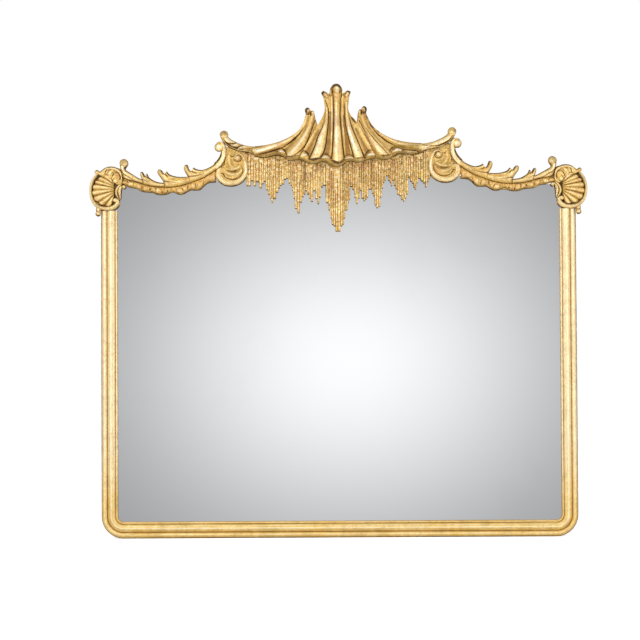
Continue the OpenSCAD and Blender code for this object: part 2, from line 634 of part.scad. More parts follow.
module hanger_strap(side) {
    color("goldenrod") both(side) translate([hanger_in - half_w, 0, hanger_z]) difference() {
        union() {
            translate([-7, 0, -52]) cube([14, 1.5, 52]);
            translate([-7, 3.5, 0]) rotate([0, 90, 0]) cylinder(14, r = 3.5, $fn = 48);
        }
        translate([-8, 3.5, 0]) rotate([0, 90, 0]) cylinder(16, r = wire_r + 0.05, $fn = 48);
        for (z = [-24, -42]) translate([0, 3, z]) rotate([90, 0, 0]) cylinder(5, r = 2, $fn = 32);
    }
}

module hanger_ring(side) {
    color("goldenrod") both(side) translate([hanger_in - half_w, 3.5, hanger_z]) {
        translate([-ring_r, 0, 0]) rotate([0, 90, 0]) cylinder(2 * ring_r, r = wire_r, $fn = 48);
        rotate([90, 0, 0]) rotate([0, 0, 180]) rotate_extrude(angle = 180, $fn = 96)
            translate([ring_r, 0]) circle(wire_r, $fn = 48);
        for (x = [-ring_r, ring_r]) translate([x, 0, 0]) sphere(wire_r, $fn = 48);
    }
}

// Round-headed screws that hold the straps to the stiles
module hanger_screw_set() {
    color("dimgray") for (x = [-1, 1]) for (z = [-24, -42])
        translate([x * (half_w - hanger_in), 1.5, hanger_z + z]) {
            rotate([90, 0, 0]) cylinder(14.5, r = 1.75, $fn = 24);
            rotate([-90, 0, 0]) cylinder(1.6, r1 = 3.2, r2 = 2.4, $fn = 32);
        }
}

stile(-1);  // left_stile
stile(1);  // right_stile
rail_bottom();  // bottom_rail
corner_block(-1);  // corner_block_left
corner_block(1);  // corner_block_right
side_board(-1);  // top_rail_left
centre_board();  // top_rail_centre
side_board(1);  // top_rail_right
mirror_glass();  // mirror_plate
glazing_block_set();  // glazing_blocks
for (b = [0:boards - 1]) backboard(b);
backboard_screw_set();  // backboard_screws
hanger_strap(-1);  // hanger_strap_left
hanger_strap(1);  // hanger_strap_right
hanger_ring(-1);  // hanger_ring_left
hanger_ring(1);  // hanger_ring_right
hanger_screw_set();  // hanger_screws
both(-1) medallion_plate();  // medallion_plate_left
both(1) medallion_plate();  // medallion_plate_right
both(-1) medallion_ring();  // medallion_ring_left
both(1) medallion_ring();  // medallion_ring_right
both(-1) medallion_shell();  // medallion_shell_left
both(1) medallion_shell();  // medallion_shell_right
both(-1) medallion_leaf();  // medallion_leaf_left
both(1) medallion_leaf();  // medallion_leaf_right
both(-1) medallion_volute();  // medallion_volute_left
both(1) medallion_volute();  // medallion_volute_right
both(-1) medallion_crescent();  // medallion_crescent_left
both(1) medallion_crescent();  // medallion_crescent_right
both(-1) medallion_ear();  // medallion_ear_left
both(1) medallion_ear();  // medallion_ear_right
sweep_end(-1);  // sweep_end_left
sweep_end(1);  // sweep_end_right
sweep_outer_leaf(-1);  // sweep_outer_leaf_left
sweep_outer_leaf(1);  // sweep_outer_leaf_right
sweep_inner_leaves(-1);  // sweep_inner_leaves_left
sweep_inner_leaves(1);  // sweep_inner_leaves_right
rockwork(-1);  // rockwork_left
rockwork(1);  // rockwork_right
scroll_strap(-1);  // scroll_strap_left
scroll_strap(1);  // scroll_strap_right
cartouche_scroll(-1);  // cartouche_scroll_left
cartouche_scroll(1);  // cartouche_scroll_right
cartouche_petals(-1);  // cartouche_petals_left
cartouche_petals(1);  // cartouche_petals_right
canopy_centre_piece();  // canopy_centre
canopy_wing(-1);  // canopy_wing_left
canopy_wing(1);  // canopy_wing_right
canopy_end(-1);  // canopy_end_left
canopy_end(1);  // canopy_end_right
icicles(-269.6, -100);  // icicles_left
icicles(-99.7, 100);  // icicles_centre
icicles(100.3, 269.6);  // icicles_right
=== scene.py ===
import math

import bpy
import numpy as np
from mathutils import Matrix, Vector


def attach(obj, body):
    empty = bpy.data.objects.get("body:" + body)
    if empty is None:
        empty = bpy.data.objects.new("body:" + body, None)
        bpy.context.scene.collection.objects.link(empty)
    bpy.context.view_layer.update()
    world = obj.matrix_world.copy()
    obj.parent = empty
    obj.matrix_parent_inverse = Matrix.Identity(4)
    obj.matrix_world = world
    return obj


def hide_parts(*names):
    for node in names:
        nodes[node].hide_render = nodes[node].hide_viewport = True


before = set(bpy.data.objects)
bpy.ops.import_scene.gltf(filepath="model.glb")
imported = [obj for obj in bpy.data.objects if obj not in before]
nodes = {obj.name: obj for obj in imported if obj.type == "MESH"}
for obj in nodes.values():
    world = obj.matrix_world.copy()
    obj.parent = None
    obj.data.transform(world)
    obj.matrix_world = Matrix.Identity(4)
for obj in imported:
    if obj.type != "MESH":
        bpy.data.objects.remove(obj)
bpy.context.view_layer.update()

# Carved giltwood overmantel mirror. All carving is worked out in millimetres as [x, z] with a
# height over the carrying boards.
sides = ((-1, "left"), (1, "right"))
print("frame loaded:", len(nodes), "parts")

# Front of the boards before the wall, the step that bands stand on and rims roll down to, then the side
# wall of a piece: the drop to its foot, where its painted shade begins, its least height and how deep a back is
# let into the boards
board = dict(front=34.0, step=2, foot=0.8, least=0.4, inlay=0.15)
# Samples per stretch of a stroke, its least half width, how steep the edges of painted-shade and
# painted-highlight strokes are, the share of a groove's depth that is cut, the depth whose painted shade is
# full and how dark that is
chisel = dict(samples=6, least=0.05, steep=1.7, share=0.62, full=5.2, dark=0.9)
# Swelling that makes a full crest or hollow, the weight of such a hollow, and where a rim's dark fades,
# in parts of its radius
marking = dict(full=2.4, hollow=0.75, fade=(0.4, 1.35))
# Point in front from which the canopy's strokes are laid out, and the height where that begins
eye = dict(x=-55, z=472, away=6000, level=6)


# Smooth curve through points: each stretch is a cubic whose end slopes are half the step between
# the two neighbours of its ends
def smoothCurve(points, t):
    p = np.asarray(points, float)
    n = len(p) - 1
    s = np.clip(np.asarray(t, float), 0, 1) * n
    i = np.minimum(s.astype(int), n - 1)
    f = (s - i)[..., None]
    a, b, c, d = p[np.maximum(i - 1, 0)], p[i], p[i + 1], p[np.minimum(i + 2, n)]
    return 0.5 * (2 * b + (c - a) * f + (2 * a - 5 * b + 4 * c - d) * f ** 2 + (3 * b - a - 3 * c + d) * f ** 3)


def smoothStep(x, low, high):
    t = np.clip((x - low) / (high - low), 0, 1)
    return t * t * (3 - 2 * t)


# Strokes of each kind, from points of [x, z, half width, height]; the last two are painted shade and painted
# highlight
def over(*line): return "over", line
def rib(*line): return "rib", line
def soft(*line): return "soft", line
def groove(*line): return "groove", line
def stain(*line): return "stain", line
def gloss(*line): return "gloss", line


# Height of one stroke by distance from its line over the half width: a round bar for "over", a shallow
# arc for a rib, a V for a groove, a bell for a soft swelling, a bell with a flat top for painted shade and
# painted highlight
def stroke(x, z, line, kind):
    out = np.zeros(x.shape)
    line = np.asarray(line, float)
    reach = line[:, 2].max() + 1
    near = ((x > line[:, 0].min() - reach) & (x < line[:, 0].max() + reach)
            & (z > line[:, 1].min() - reach) & (z < line[:, 1].max() + reach))
    if not near.any():
        return out
    c = smoothCurve(line, np.linspace(0, 1, chisel["samples"] * (len(line) - 1) + 1))
    a, d = c[:-1], c[1:] - c[:-1]
    px, pz = x[near][:, None] - a[:, 0], z[near][:, None] - a[:, 1]
    t = np.clip((px * d[:, 0] + pz * d[:, 1]) / np.maximum(d[:, 0] ** 2 + d[:, 1] ** 2, 1e-9), 0, 1)
    w = np.maximum(a[:, 2] + t * d[:, 2], chisel["least"])
    f = np.clip(1 - np.hypot(px - t * d[:, 0], pz - t * d[:, 1]) / w, 0, 1)
    if kind == "over":
        f = np.sqrt(1 - (1 - f) ** 2)
    elif kind == "rib":
        f = f * (2 - f)
    elif kind != "groove":
        f = smoothStep(f * (1.0 if kind == "soft" else chisel["steep"]), 0, 1)
    value = (a[:, 3] + t * d[:, 3]) * f
    best = np.abs(value).argmax(1)
    out[near] = value[np.arange(len(best)), best]
    return out


# Two parameters from 0 to 1, even in the middle and crowded by a cosine towards the rims
def gridOf(nu, nv, crowdU, crowdV):
    def spread(n, crowd):
        t = np.linspace(0, 1, n + 1)
        return (1 - crowd) * t + crowd * (0.5 - 0.5 * np.cos(np.pi * t))
    return np.meshgrid(spread(nu, crowdU), spread(nv, crowdV), indexing="ij")


# Numbers of a grid's points, and the four of each cell
def gridFaces(shape):
    k = np.arange(shape[0] * shape[1]).reshape(shape)
    return k, np.stack([k[:-1, :-1], k[1:, :-1], k[1:, 1:], k[:-1, 1:]], -1).reshape(-1, 4)


# Running mean along both directions of a grid, over k rows to each side, done twice
def blurred(h, ku, kv):
    for axis, k in ((0, ku), (1, kv), (0, ku), (1, kv)):
        k = int(max(1, min(k, h.shape[axis] // 2)))
        pad = [(0, 0), (0, 0)]
        pad[axis] = (k + 1, k)
        s = np.cumsum(np.pad(h, pad, mode="edge"), axis=axis)
        n = h.shape[axis]
        h = (np.take(s, range(2 * k + 1, 2 * k + 1 + n), axis) - np.take(s, range(0, n), axis)) / (2 * k + 1)
    return h


# Lengths walked along the grid from its west, east, south and north rims
def rimDistances(x, z):
    def walked(axis):
        step = np.hypot(np.diff(x, axis=axis), np.diff(z, axis=axis))
        zero = np.zeros_like(np.take(x, [0], axis))
        return np.concatenate([zero, np.cumsum(step, axis)], axis)
    along, across = walked(0), walked(1)
    return along, along[-1:] - along, across, across[:, -1:] - across


# One carved front: place(u, v) gives x and z, depth(u, v, x, z) the height. The strokes work on it in
# turn: "over" lays a bar of its own height where that is higher, "rib", "soft" and "groove" add their
# height, and a groove's cut also gets painted shade; strokes of painted shade only darken and strokes of
# painted highlight only lighten. The rims roll over as quarter circles of the given radii and get painted
# shade where asked. Far out on the canopy the strokes are laid along lines from a point in front, so that
# they meet those of the flat carving.
def carve(place, depth, counts, strokes=(), rolls=(4, 4, 4, 4), dark=(0, 0, 0, 0), side=-1, lift=None,
          crowd=(0.5, 0.7), reach=5, tone=0, seen=False):
    u, v = gridOf(*counts, *crowd)
    x, z = place(u, v)
    h = depth(u, v, x, z)
    far = (h - eye["level"]) / eye["away"] * seen
    sx, sz = x + (x + side * eye["x"]) * far, z + (z - eye["z"]) * far
    cut, shade, shine = np.zeros((3, *x.shape))
    for kind, line in strokes:
        s = stroke(sx, sz, line, kind)
        if kind == "over":
            h = np.maximum(h, s)
        elif kind == "stain":
            shade = np.maximum(shade, s)
        elif kind == "gloss":
            shine = np.maximum(shine, s)
        elif kind == "groove":
            s = s * chisel["share"]
            h = h + s
            cut = np.maximum(cut, np.clip(-s / chisel["full"], 0, chisel["dark"]))
        else:
            h = h + s
    rims = rimDistances(x, z)
    meanU = max(rims[0][-1].mean() / counts[0], 0.2)
    meanV = max(rims[2][:, -1].mean() / counts[1], 0.2)
    swell = h - blurred(h, round(reach / meanU), round(reach / meanV))
    for d, r, k in zip(rims, rolls, dark):
        if r > 0:
            h = board["step"] + (h - board["step"]) * np.sqrt(1 - (1 - np.clip(d / r, 0, 1)) ** 2)
            shade = np.maximum(shade, k * (1 - smoothStep(d, *(near * r for near in marking["fade"]))))
    if side > 0:
        z = z + (rise(x) if lift is None else lift)
        x = -x
    # The marks: hollow is painted shade in hollows and cuts, crest a painted highlight on crests and under
    # highlight strokes, shade the painted shade of strokes and rims
    return dict(x=x, z=z, h=h, hollow=np.clip(-swell / marking["full"], 0, 1) * marking["hollow"] + cut,
                crest=np.clip(swell / marking["full"], 0, 1) + shine, shade=shade,
                tone=tone(u, v) if callable(tone) else np.full(x.shape, float(tone)))


# Round boss: rungs across a disc, under a cap that rises from a straight foot
def bead(x, z, r, foot, high, strokes=(), side=-1, **more):
    def place(u, v):
        a = np.pi * (0.04 + 0.92 * u)
        return x - r * np.cos(a), z + (2 * v - 1) * r * np.sin(a)

    def depth(u, v, px, pz):
        return foot + (high - foot) * np.sqrt(np.clip(1 - ((px - x) ** 2 + (pz - z) ** 2) / r ** 2, 0, 1))
    n = round(10 + 1.6 * r)
    return carve(place, depth, (n, n), strokes, rolls=(0, 0, 0, 0), side=side, crowd=(0, 0.3), **more)


carved = []  # every piece so far


def addObject(name, content):
    made = bpy.data.objects.new(name, content)
    bpy.context.scene.collection.objects.link(made)
    return made


# Closed gilt piece from its fronts: a wall runs from each rim back to the boards, where a flat back
# closes it. The rim is walked so that the front faces the room, and the backs of neighbours that
# overlap are let into the boards by different tenths of a millimetre. Two rings of the wall carry
# marks of their own, so that the wall's painted shade deepens towards the boards.
def makePiece(name, fronts, replaced, smooth=42, wall=0.75):
    points, faces, marks = [], [], []
    start = 0
    for f in fronts:
        inlaid = board["inlay"] * ((len(carved) + start % 7) % 5)
        k, quads = gridFaces(f["x"].shape)
        rim = np.concatenate([k[:-1, 0], k[-1, :-1], k[:0:-1, -1], k[0, :0:-1]])
        flat = np.stack([f["x"].ravel(), -board["front"] - f["h"].ravel(), f["z"].ravel()], -1)
        rx, rz = flat[rim, 0], flat[rim, 2]
        if (rx * np.roll(rz, -1) - rz * np.roll(rx, -1)).sum() < 0:
            quads, rim = quads[:, ::-1], rim[::-1]
        edge = flat[rim]
        lower = edge.copy()
        lower[:, 1] = np.minimum(edge[:, 1] + board["foot"], -board["front"] - board["least"])
        ground = edge.copy()
        ground[:, 1] = inlaid - board["front"]
        n, m = k.size, len(rim)
        a, b = n + np.arange(m), n + m + np.arange(m)
        walls = np.concatenate([np.stack([np.roll(high, -1), high, low, np.roll(low, -1)], -1)
                                for high, low in ((rim, a), (a, b))])
        faces += (quads + start).tolist() + (walls + start).tolist() + [(b[::-1] + start).tolist()]
        points += [flat, lower, ground]
        tone = f["tone"].ravel()[rim]
        marks.append(np.stack([
            np.concatenate([f[key].ravel(), near + 0 * tone, far + 0 * tone]) for key, near, far in (
                ("hollow", 0.4 * wall, 0.3), ("crest", 0, 0), ("shade", wall, 0.8), ("tone", tone, tone))], -1))
        start += n + 2 * m
    mesh = bpy.data.meshes.new(name)
    mesh.from_pydata((np.concatenate(points) / 1000).tolist(), [], faces)
    marks = np.concatenate(marks)
    for i, key in enumerate(("hollow", "crest", "shade", "tone")):
        mesh.attributes.new(key, "FLOAT", "POINT").data.foreach_set("value", marks[:, i].astype(np.float32))
    mesh.polygons.foreach_set("use_smooth", np.ones(len(faces), bool))
    mesh.set_sharp_from_angle(angle=math.radians(smooth))
    mesh.update()
    mesh.materials.append(gilding)
    piece = addObject(name, mesh)
    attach(piece, "frame")
    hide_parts(replaced)
    carved.append(name)


# Strip between a low and a high edge: straight rungs join equal shares of both
def strip(low, high):
    def place(u, v):
        p = (1 - v)[..., None] * smoothCurve(low, u) + v[..., None] * smoothCurve(high, u)
        return p[..., 0], p[..., 1]
    return place


# Band along a path of [x, z, half width, height]: rungs stand square to the path, and the first
# ones may turn to meet an upright joint
def band(path, upright=False):
    def place(u, v):
        q = smoothCurve(path, u)
        t = smoothCurve(path, np.minimum(u + 0.01, 1)) - smoothCurve(path, np.maximum(u - 0.01, 0))
        angle = np.arctan2(t[..., 1], t[..., 0])
        if upright:
            angle = np.where(u < 0.15, angle * smoothStep(u, 0, 0.15), angle)
        w = (2 * v - 1) * np.maximum(q[..., 2], 0.4)
        return q[..., 0] - w * np.sin(angle), q[..., 1] + w * np.cos(angle)
    return place


# Height of a band: a half round of the path's height on a small step, plus its own section
def bandHeight(path, section=None):
    def depth(u, v, x, z):
        q = smoothCurve(path, u)
        c = 2 * v - 1
        h = board["step"] + np.maximum(q[..., 3], 0.6) * np.sqrt(np.clip(1 - c * c, 0, 1))
        return h if section is None else h + section(u, c)
    return depth


# Front of a band, whose half round needs no rolled rims
def carveBand(path, counts, strokes=(), section=None, upright=False, **more):
    return carve(band(path, upright), bandHeight(path, section), counts, strokes, rolls=(0, 0, 0, 0),
                 crowd=(0, 1), **more)


crest = dict(
    ridge=[[-646, 1071], [-630, 1071], [-615, 1067], [-600, 1063], [-584, 1058], [-570, 1054], [-555, 1051],
           [-537, 1049], [-505, 1048], [-490, 1049], [-468, 1053], [-449, 1059], [-420, 1069], [-402, 1076],
           [-385, 1086], [-366, 1099], [-350, 1112]],
    rise=[[-660, 0], [-600, 5.6], [-340, 8], [-240, 6.4]],
    touch=0.3,
)


# Line on which the leaves stand and under which the rockwork hangs, a touch apart
def ridge(x):
    return np.interp(x, *np.transpose(crest["ridge"]))


# How far the right half stands higher than the left
def rise(x):
    return np.interp(x, *np.transpose(crest["rise"]))


def onRidge(*xs):
    return [[x, ridge(x) + crest["touch"]] for x in xs]


# A socket of a node tree: sums and products of these become Math nodes
class Wire:
    def __init__(self, tree, socket=None):
        self.tree, self.socket = tree, socket

    # Adds a node: its settings first, then a value or a wire for each socket
    def node(self, kind, settings=None, inputs=None, out=0):
        made = self.tree.nodes.new("ShaderNode" + kind)
        for key, value in (settings or {}).items():
            setattr(made, key, value)
        for key, value in (inputs or {}).items():
            if isinstance(value, Wire):
                self.tree.links.new(value.socket, made.inputs[key])
            else:
                made.inputs[key].default_value = value
        return Wire(self.tree, made.outputs[out])

    def maths(self, operation, a, b=0.0, clamp=False):
        return self.node("Math", dict(operation=operation, use_clamp=clamp), {0: a, 1: b})

    def __add__(self, other): return self.maths("ADD", self, other)
    def __sub__(self, other): return self.maths("SUBTRACT", self, other)
    def __rsub__(self, other): return self.maths("SUBTRACT", other, self)
    def __mul__(self, other): return self.maths("MULTIPLY", self, other)

    def most(self, other): return self.maths("MAXIMUM", self, other)
    def size(self): return self.maths("ABSOLUTE", self)
    def held(self): return self.maths("ADD", self, 0.0, True)

    # 0 below low, 1 above high, eased between
    def step(self, low, high):
        return self.node("MapRange", dict(interpolation_type="SMOOTHSTEP"),
                         {"Value": self, "From Min": low, "From Max": high})

    def mix(self, a, b):
        return self.node("Mix", dict(data_type="RGBA"), {0: self, 6: a, 7: b}, 2)

    # Wires for the x, y and z of a vector
    def split(self):
        made = self.node("SeparateXYZ", None, {0: self}).socket.node
        return [Wire(self.tree, out) for out in made.outputs]


def colour(r, g, b):
    return (r, g, b, 1.0)


class Finish:
    def __init__(self, name, **fixed):
        self.material = bpy.data.materials.new(name)
        self.material.use_nodes = True
        self.tree = self.material.node_tree
        self.shader = self.tree.nodes["Principled BSDF"]
        self.start = Wire(self.tree)
        self.place = self.start.node("TexCoord", out="Object")
        self.base = None
        for key, value in fixed.items():
            self.shader.inputs[key].default_value = value

    def feed(self, key, wire):
        self.tree.links.new(wire.socket, self.shader.inputs[key])

    # Lays a tint over the base colour where the mask is
    def lay(self, mask, tint):
        self.base = mask.mix(self.base, tint)

    def noise(self, scale, detail=3.0, rough=0.55, place=None):
        return self.start.node("TexNoise", None, {"Vector": place or self.place, "Scale": scale,
                                                  "Detail": detail, "Roughness": rough})

    def stretched(self, x, y, z):
        return self.start.node("Mapping", None, {"Vector": self.place, "Scale": (x, y, z)})

    def mark(self, name):
        return self.start.node("Attribute", dict(attribute_name=name), out="Fac")

    def bump(self, height, strength, distance):
        self.feed("Normal", self.start.node("Bump", None, {"Height": height, "Strength": strength,
                                                            "Distance": distance}))


gold = dict(
    pale=colour(0.97, 0.76, 0.36), mid=colour(0.77, 0.49, 0.115), olive=colour(0.41, 0.275, 0.050),
    ochre=colour(0.64, 0.34, 0.085), brown=colour(0.26, 0.125, 0.026), umber=colour(0.085, 0.038, 0.009),
    bole=colour(0.52, 0.22, 0.07), cream=colour(0.99, 0.89, 0.66), backDark=colour(0.20, 0.105, 0.030),
    backLight=colour(0.33, 0.19, 0.065), metal=0.42, rough=0.56, wear=0.5, specks=0.9, patina=0.55,
)


# Water gilding: a painted highlight, pale and cream, on the crests; painted shade, olive through brown
# to umber, in the hollows and cuts, on turned-back rims and wherever the shade mark lies; with brown
# patina, red bole rubbed through and worm holes, and plainly toned behind. Each coat lies over the
# last where its mask is. The masks come from the carving or the moulding; "rear" says at which y the
# flanks begin and end to turn into the back.
def gildInto(f, hollow, crestMask, shade, tone=None, cream=None, mottle=1.0, rear=(-0.0375, -0.0342)):
    cloud = f.noise(14.0, 4.0).step(0.32, 0.68) - 0.5
    fine = f.noise(95.0, 5.0, 0.6).step(0.30, 0.70) - 0.5
    grain = f.noise(330.0, 3.0)
    f.base = gold["mid"]
    # Painted highlight: pale on the crests, with mottling at random
    f.lay((crestMask * 0.80 + cloud * 0.35 + fine * 0.45 + 0.22).held(), gold["pale"])
    # Painted shade: olive in the hollows, with olive patches at random
    f.lay((hollow * 0.8 + f.noise(22.0, 4.0).step(0.46, 0.72) * 0.35).held(), gold["olive"])
    f.lay(f.noise(31.0, 4.0).step(0.46, 0.70) * 0.45 * mottle, gold["ochre"])
    if tone is not None:
        f.lay(tone.held(), gold["olive"])
        f.lay((tone * -1.0).held(), gold["ochre"])
    # Painted highlight: cream on the strongest crests, and where the caller asks for it
    f.lay(((crestMask - 0.85) * 0.8).held(), gold["cream"])
    if cream is not None:
        f.lay(cream.held(), gold["cream"])
    rubbed = (f.noise(37.0, 6.0, 0.65) + crestMask * 0.03).step(0.57, 0.66) * (gold["wear"] * mottle)
    f.lay(rubbed, gold["bole"])
    patina = (f.noise(58.0, 7.0, 0.7) + hollow * 0.16 - crestMask * 0.06).step(0.47, 0.66)
    patina = patina * (gold["patina"] * mottle)
    f.lay(patina, gold["brown"])
    f.lay(f.noise(170.0, 4.0, 0.6).step(0.52, 0.66) * (0.30 * mottle), gold["brown"])
    f.lay(f.noise(210.0, 4.0, 0.6).step(0.54, 0.68) * (0.40 * mottle), gold["pale"])
    f.lay(grain.step(0.58, 0.72) * 0.30, gold["brown"])
    # Painted shade in the hollows and cuts: brown, then umber in the deepest
    f.lay((hollow + fine * 0.35).step(0.18, 0.95) * 0.9, gold["brown"])
    f.lay((hollow + fine * 0.30).step(0.75, 1.25), gold["umber"])
    # Painted shade where the shade mark lies, from strokes, dark rims and walls: olive, then brown, then umber
    toned = shade * (fine * 0.7 + (f.noise(60.0, 4.0, 0.6).step(0.35, 0.65) - 0.5) * 0.45 + 1.0)
    f.lay(toned.step(0.0, 0.45) * 0.7, gold["olive"])
    f.lay(toned.step(0.30, 0.95) * 0.92, gold["brown"])
    f.lay(toned.step(0.72, 1.15), gold["umber"])
    cells = f.start.node("TexVoronoi", None, {"Vector": f.place, "Scale": 62.0, "Randomness": 1.0}, "Distance")
    holes = (1 - cells.step(0.045, 0.075)) * f.noise(9.0, 1.0).step(0.54, 0.58) * gold["specks"]
    f.lay(holes, gold["umber"])
    behind = f.place.split()[1].step(*rear)
    f.lay(behind * 0.92, (cloud + 0.5).mix(gold["backDark"], gold["backLight"]))
    f.feed("Base Color", f.base)
    f.feed("Roughness", (hollow * 0.15 + shade * 0.2 + fine * 0.12 + gold["rough"] + patina * 0.2
                         - crestMask * 0.06).held())
    f.feed("Metallic", (gold["metal"] - rubbed * 0.35 - shade * 0.6 - hollow * 0.4 - patina * 0.5
                        - behind).held())
    f.bump(fine * 0.6 + grain * 0.5 + f.noise(30.0, 2.0) * 0.6 - holes * 1.5, 0.5, 0.0014)


def carvedGilding():
    f = Finish("carvedGilding", IOR=1.45)
    gildInto(f, f.mark("hollow"), f.mark("crest"), f.mark("shade"), f.mark("tone"))
    return f.material


# Centre of the corner's round, stretch of the streaks, height where the stiles end and painted shade
# covers them, and lines along the moulding as distance from its outer edge, half width and strength:
# grooves get painted shade and crests a painted highlight
moulding = dict(
    cornerX=0.6455, cornerZ=0.066, streaks=(300.0, 6.0), top=(0.9785, 0.9800), rear=(-0.019, -0.012),
    grooves=[(0.0180, 0.0030, 0.42), (0.0188, 0.0012, 0.3), (0.0255, 0.0012, 0.22), (0.0433, 0.0014, 0.75),
             (0.0497, 0.0010, 0.8)],
    crests=[(0.0305, 0.0040, 1.5), (0.0113, 0.0035, 1.0), (0.0380, 0.0026, 0.9), (0.0462, 0.0014, 0.6)],
)


# Distance inward from the moulding's outer edge: the corner radius less the distance from the
# corner's centre, which is square to the stiles and rail on their straight lengths
def mouldingDistance(f):
    x, _, z = f.place.split()
    dx = (x.size() - moulding["cornerX"]).most(0.0)
    dz = (moulding["cornerZ"] - z).most(0.0)
    away = f.start.maths("SQRT", dx * dx + dz * dz)
    return moulding["cornerZ"] - away, x, z


# Strongest of several soft lines along the moulding
def linesAt(s, lines):
    found = [(1 - (s - place).size().step(0.0, width)) * amount for place, width, amount in lines]
    strongest = found[0]
    for line in found[1:]:
        strongest = strongest.most(line)
    return strongest


# Gilding of the reeded moulding: grooves get painted shade and reed tops a painted highlight, both with
# streaks along the moulding; the outer edge and the stiles' upper ends get painted shade, and the upper
# part a creamier painted highlight
def mouldedGilding():
    f = Finish("mouldedGilding", IOR=1.45)
    s, x, z = mouldingDistance(f)
    hollow, crestMask = linesAt(s, moulding["grooves"]), linesAt(s, moulding["crests"])
    across, lengthwise = moulding["streaks"]
    along = f.start.node("CombineXYZ", None, {0: s * across, 1: (x + z) * lengthwise})
    streak = f.noise(1.0, 4.0, 0.6, along)
    hollow = hollow.most(streak.step(0.52, 0.70) * 0.34)
    crestMask = crestMask + (1 - streak.step(0.34, 0.50)) * 0.5
    # Painted shade along the outer edge, which turns away, and on the stiles' upper ends under the medallions
    shade = (1 - s.step(0.0008, 0.0040)) * 1.1
    shade = shade.most(z.step(*moulding["top"]))
    # Painted highlight: the stiles creamier upwards from the rail
    cream = z.step(0.06, 0.30) * 0.45 * (1 - hollow)
    gildInto(f, hollow, crestMask, shade, cream=cream, mottle=0.4, rear=moulding["rear"])
    return f.material


# Centre of the corner medallions and where the painted shadow on their ground ends
medallion = dict(x=0.690, z=1.043, rim=(0.0485, 0.0530))


# Ground behind the corner medallions: painted shadow, almost black, inside the ring, gilt like the rest outside
# it
def paintedShadowGround():
    f = Finish("paintedShadowGround", Metallic=0.1)
    x, _, z = f.place.split()
    dx, dz = x.size() - medallion["x"], z - medallion["z"]
    outside = f.start.maths("SQRT", dx * dx + dz * dz).step(*medallion["rim"])
    fine = f.noise(95.0, 5.0, 0.6)
    dark = fine.step(0.35, 0.7).mix(gold["umber"], colour(0.21, 0.12, 0.03))
    f.feed("Base Color", outside.mix(dark, fine.step(0.35, 0.65).mix(gold["brown"], gold["mid"])))
    f.feed("Roughness", fine * 0.3 + 0.5)
    f.bump(fine, 0.3, 0.0008)
    return f.material


# Bare softwood: long streaks along x with darker late wood
def pineInto(f, light, dark):
    streak = f.noise(6.0, 5.0, 0.6, f.stretched(2.0, 30.0, 30.0))
    knots = f.noise(5.0, 2.0)
    wood = (streak.step(0.35, 0.65) * 0.8 + knots * 0.3).held().mix(light, dark)
    return wood, streak


def barePine():
    f = Finish("barePine", Roughness=0.75)
    wood, streak = pineInto(f, colour(0.50, 0.31, 0.15), colour(0.27, 0.145, 0.06))
    f.feed("Base Color", wood)
    f.feed("Roughness", streak * 0.2 + 0.62)
    f.bump(streak, 0.3, 0.0008)
    return f.material


# Boards behind the carving: gilt on the front, toned along the edges, bare pine at the back
def giltFrontedPine():
    f = Finish("giltFrontedPine")
    y = f.place.split()[1]
    wood, streak = pineInto(f, colour(0.42, 0.24, 0.10), colour(0.25, 0.13, 0.05))
    fine = f.noise(95.0, 5.0, 0.6)
    front = 1 - y.step(-0.0338, -0.0330)
    toned = (1 - y.step(-0.030, -0.012)) * 0.7
    gilt = (f.noise(14.0, 4.0) + (fine - 0.5) * 0.4).held().mix(gold["olive"], gold["mid"])
    edge = toned.mix(wood, colour(0.16, 0.085, 0.025))
    f.feed("Base Color", front.mix(edge, gilt))
    f.feed("Metallic", front * 0.6)
    f.feed("Roughness", 0.72 - front * 0.25)
    f.bump(streak * 0.5 + fine * 0.5, 0.3, 0.0008)
    return f.material


# Mirror: almost even, with a little haze where the silver has aged
def silveredGlass():
    f = Finish("silveredGlass", Metallic=1.0, IOR=1.5)
    age = f.noise(3.0, 5.0, 0.6)
    bloom = f.noise(55.0, 3.0)
    dull = age.step(0.52, 0.75) * 0.35
    f.feed("Base Color", dull.mix(colour(0.93, 0.94, 0.95), colour(0.88, 0.885, 0.88)))
    f.feed("Roughness", (age.step(0.55, 0.8) * 0.02 + (bloom - 0.5) * 0.008 + 0.012).held())
    return f.material


# Old metal: dark spots, which are rougher than the bright ground
def dullMetal(name, light, dark, scale):
    f = Finish(name, Metallic=1.0)
    spots = f.noise(scale, 5.0, 0.65)
    f.feed("Base Color", spots.step(0.38, 0.62).mix(dark, light))
    f.feed("Roughness", (1 - spots) * 0.5 + 0.2)
    f.bump(f.noise(scale * 6, 2.0), 0.25, 0.0003)
    return f.material


gilding = carvedGilding()
pineBack = barePine()
steel = dullMetal("screwSteel", colour(0.34, 0.31, 0.28), colour(0.14, 0.10, 0.08), 160.0)
mouldGilding = mouldedGilding()

# Finish of each CAD part, by how its name starts; the first that fits is taken
finishes = dict(
    left_stile=mouldGilding, right_stile=mouldGilding, bottom_rail=mouldGilding, corner_block=mouldGilding,
    medallion_plate=paintedShadowGround(), top_rail=giltFrontedPine(), backboard_screws=steel,
    hanger_screws=steel, backboard=pineBack, glazing_blocks=pineBack, mirror_plate=silveredGlass(),
    hanger=dullMetal("hangerBrass", colour(0.62, 0.43, 0.16), colour(0.30, 0.19, 0.07), 90.0),
)
for name in nodes:
    finish = next((finishes[start] for start in finishes if name.startswith(start)), None)
    if finish:
        nodes[name].data.materials.clear()
        nodes[name].data.materials.append(finish)
print("finishes ready")


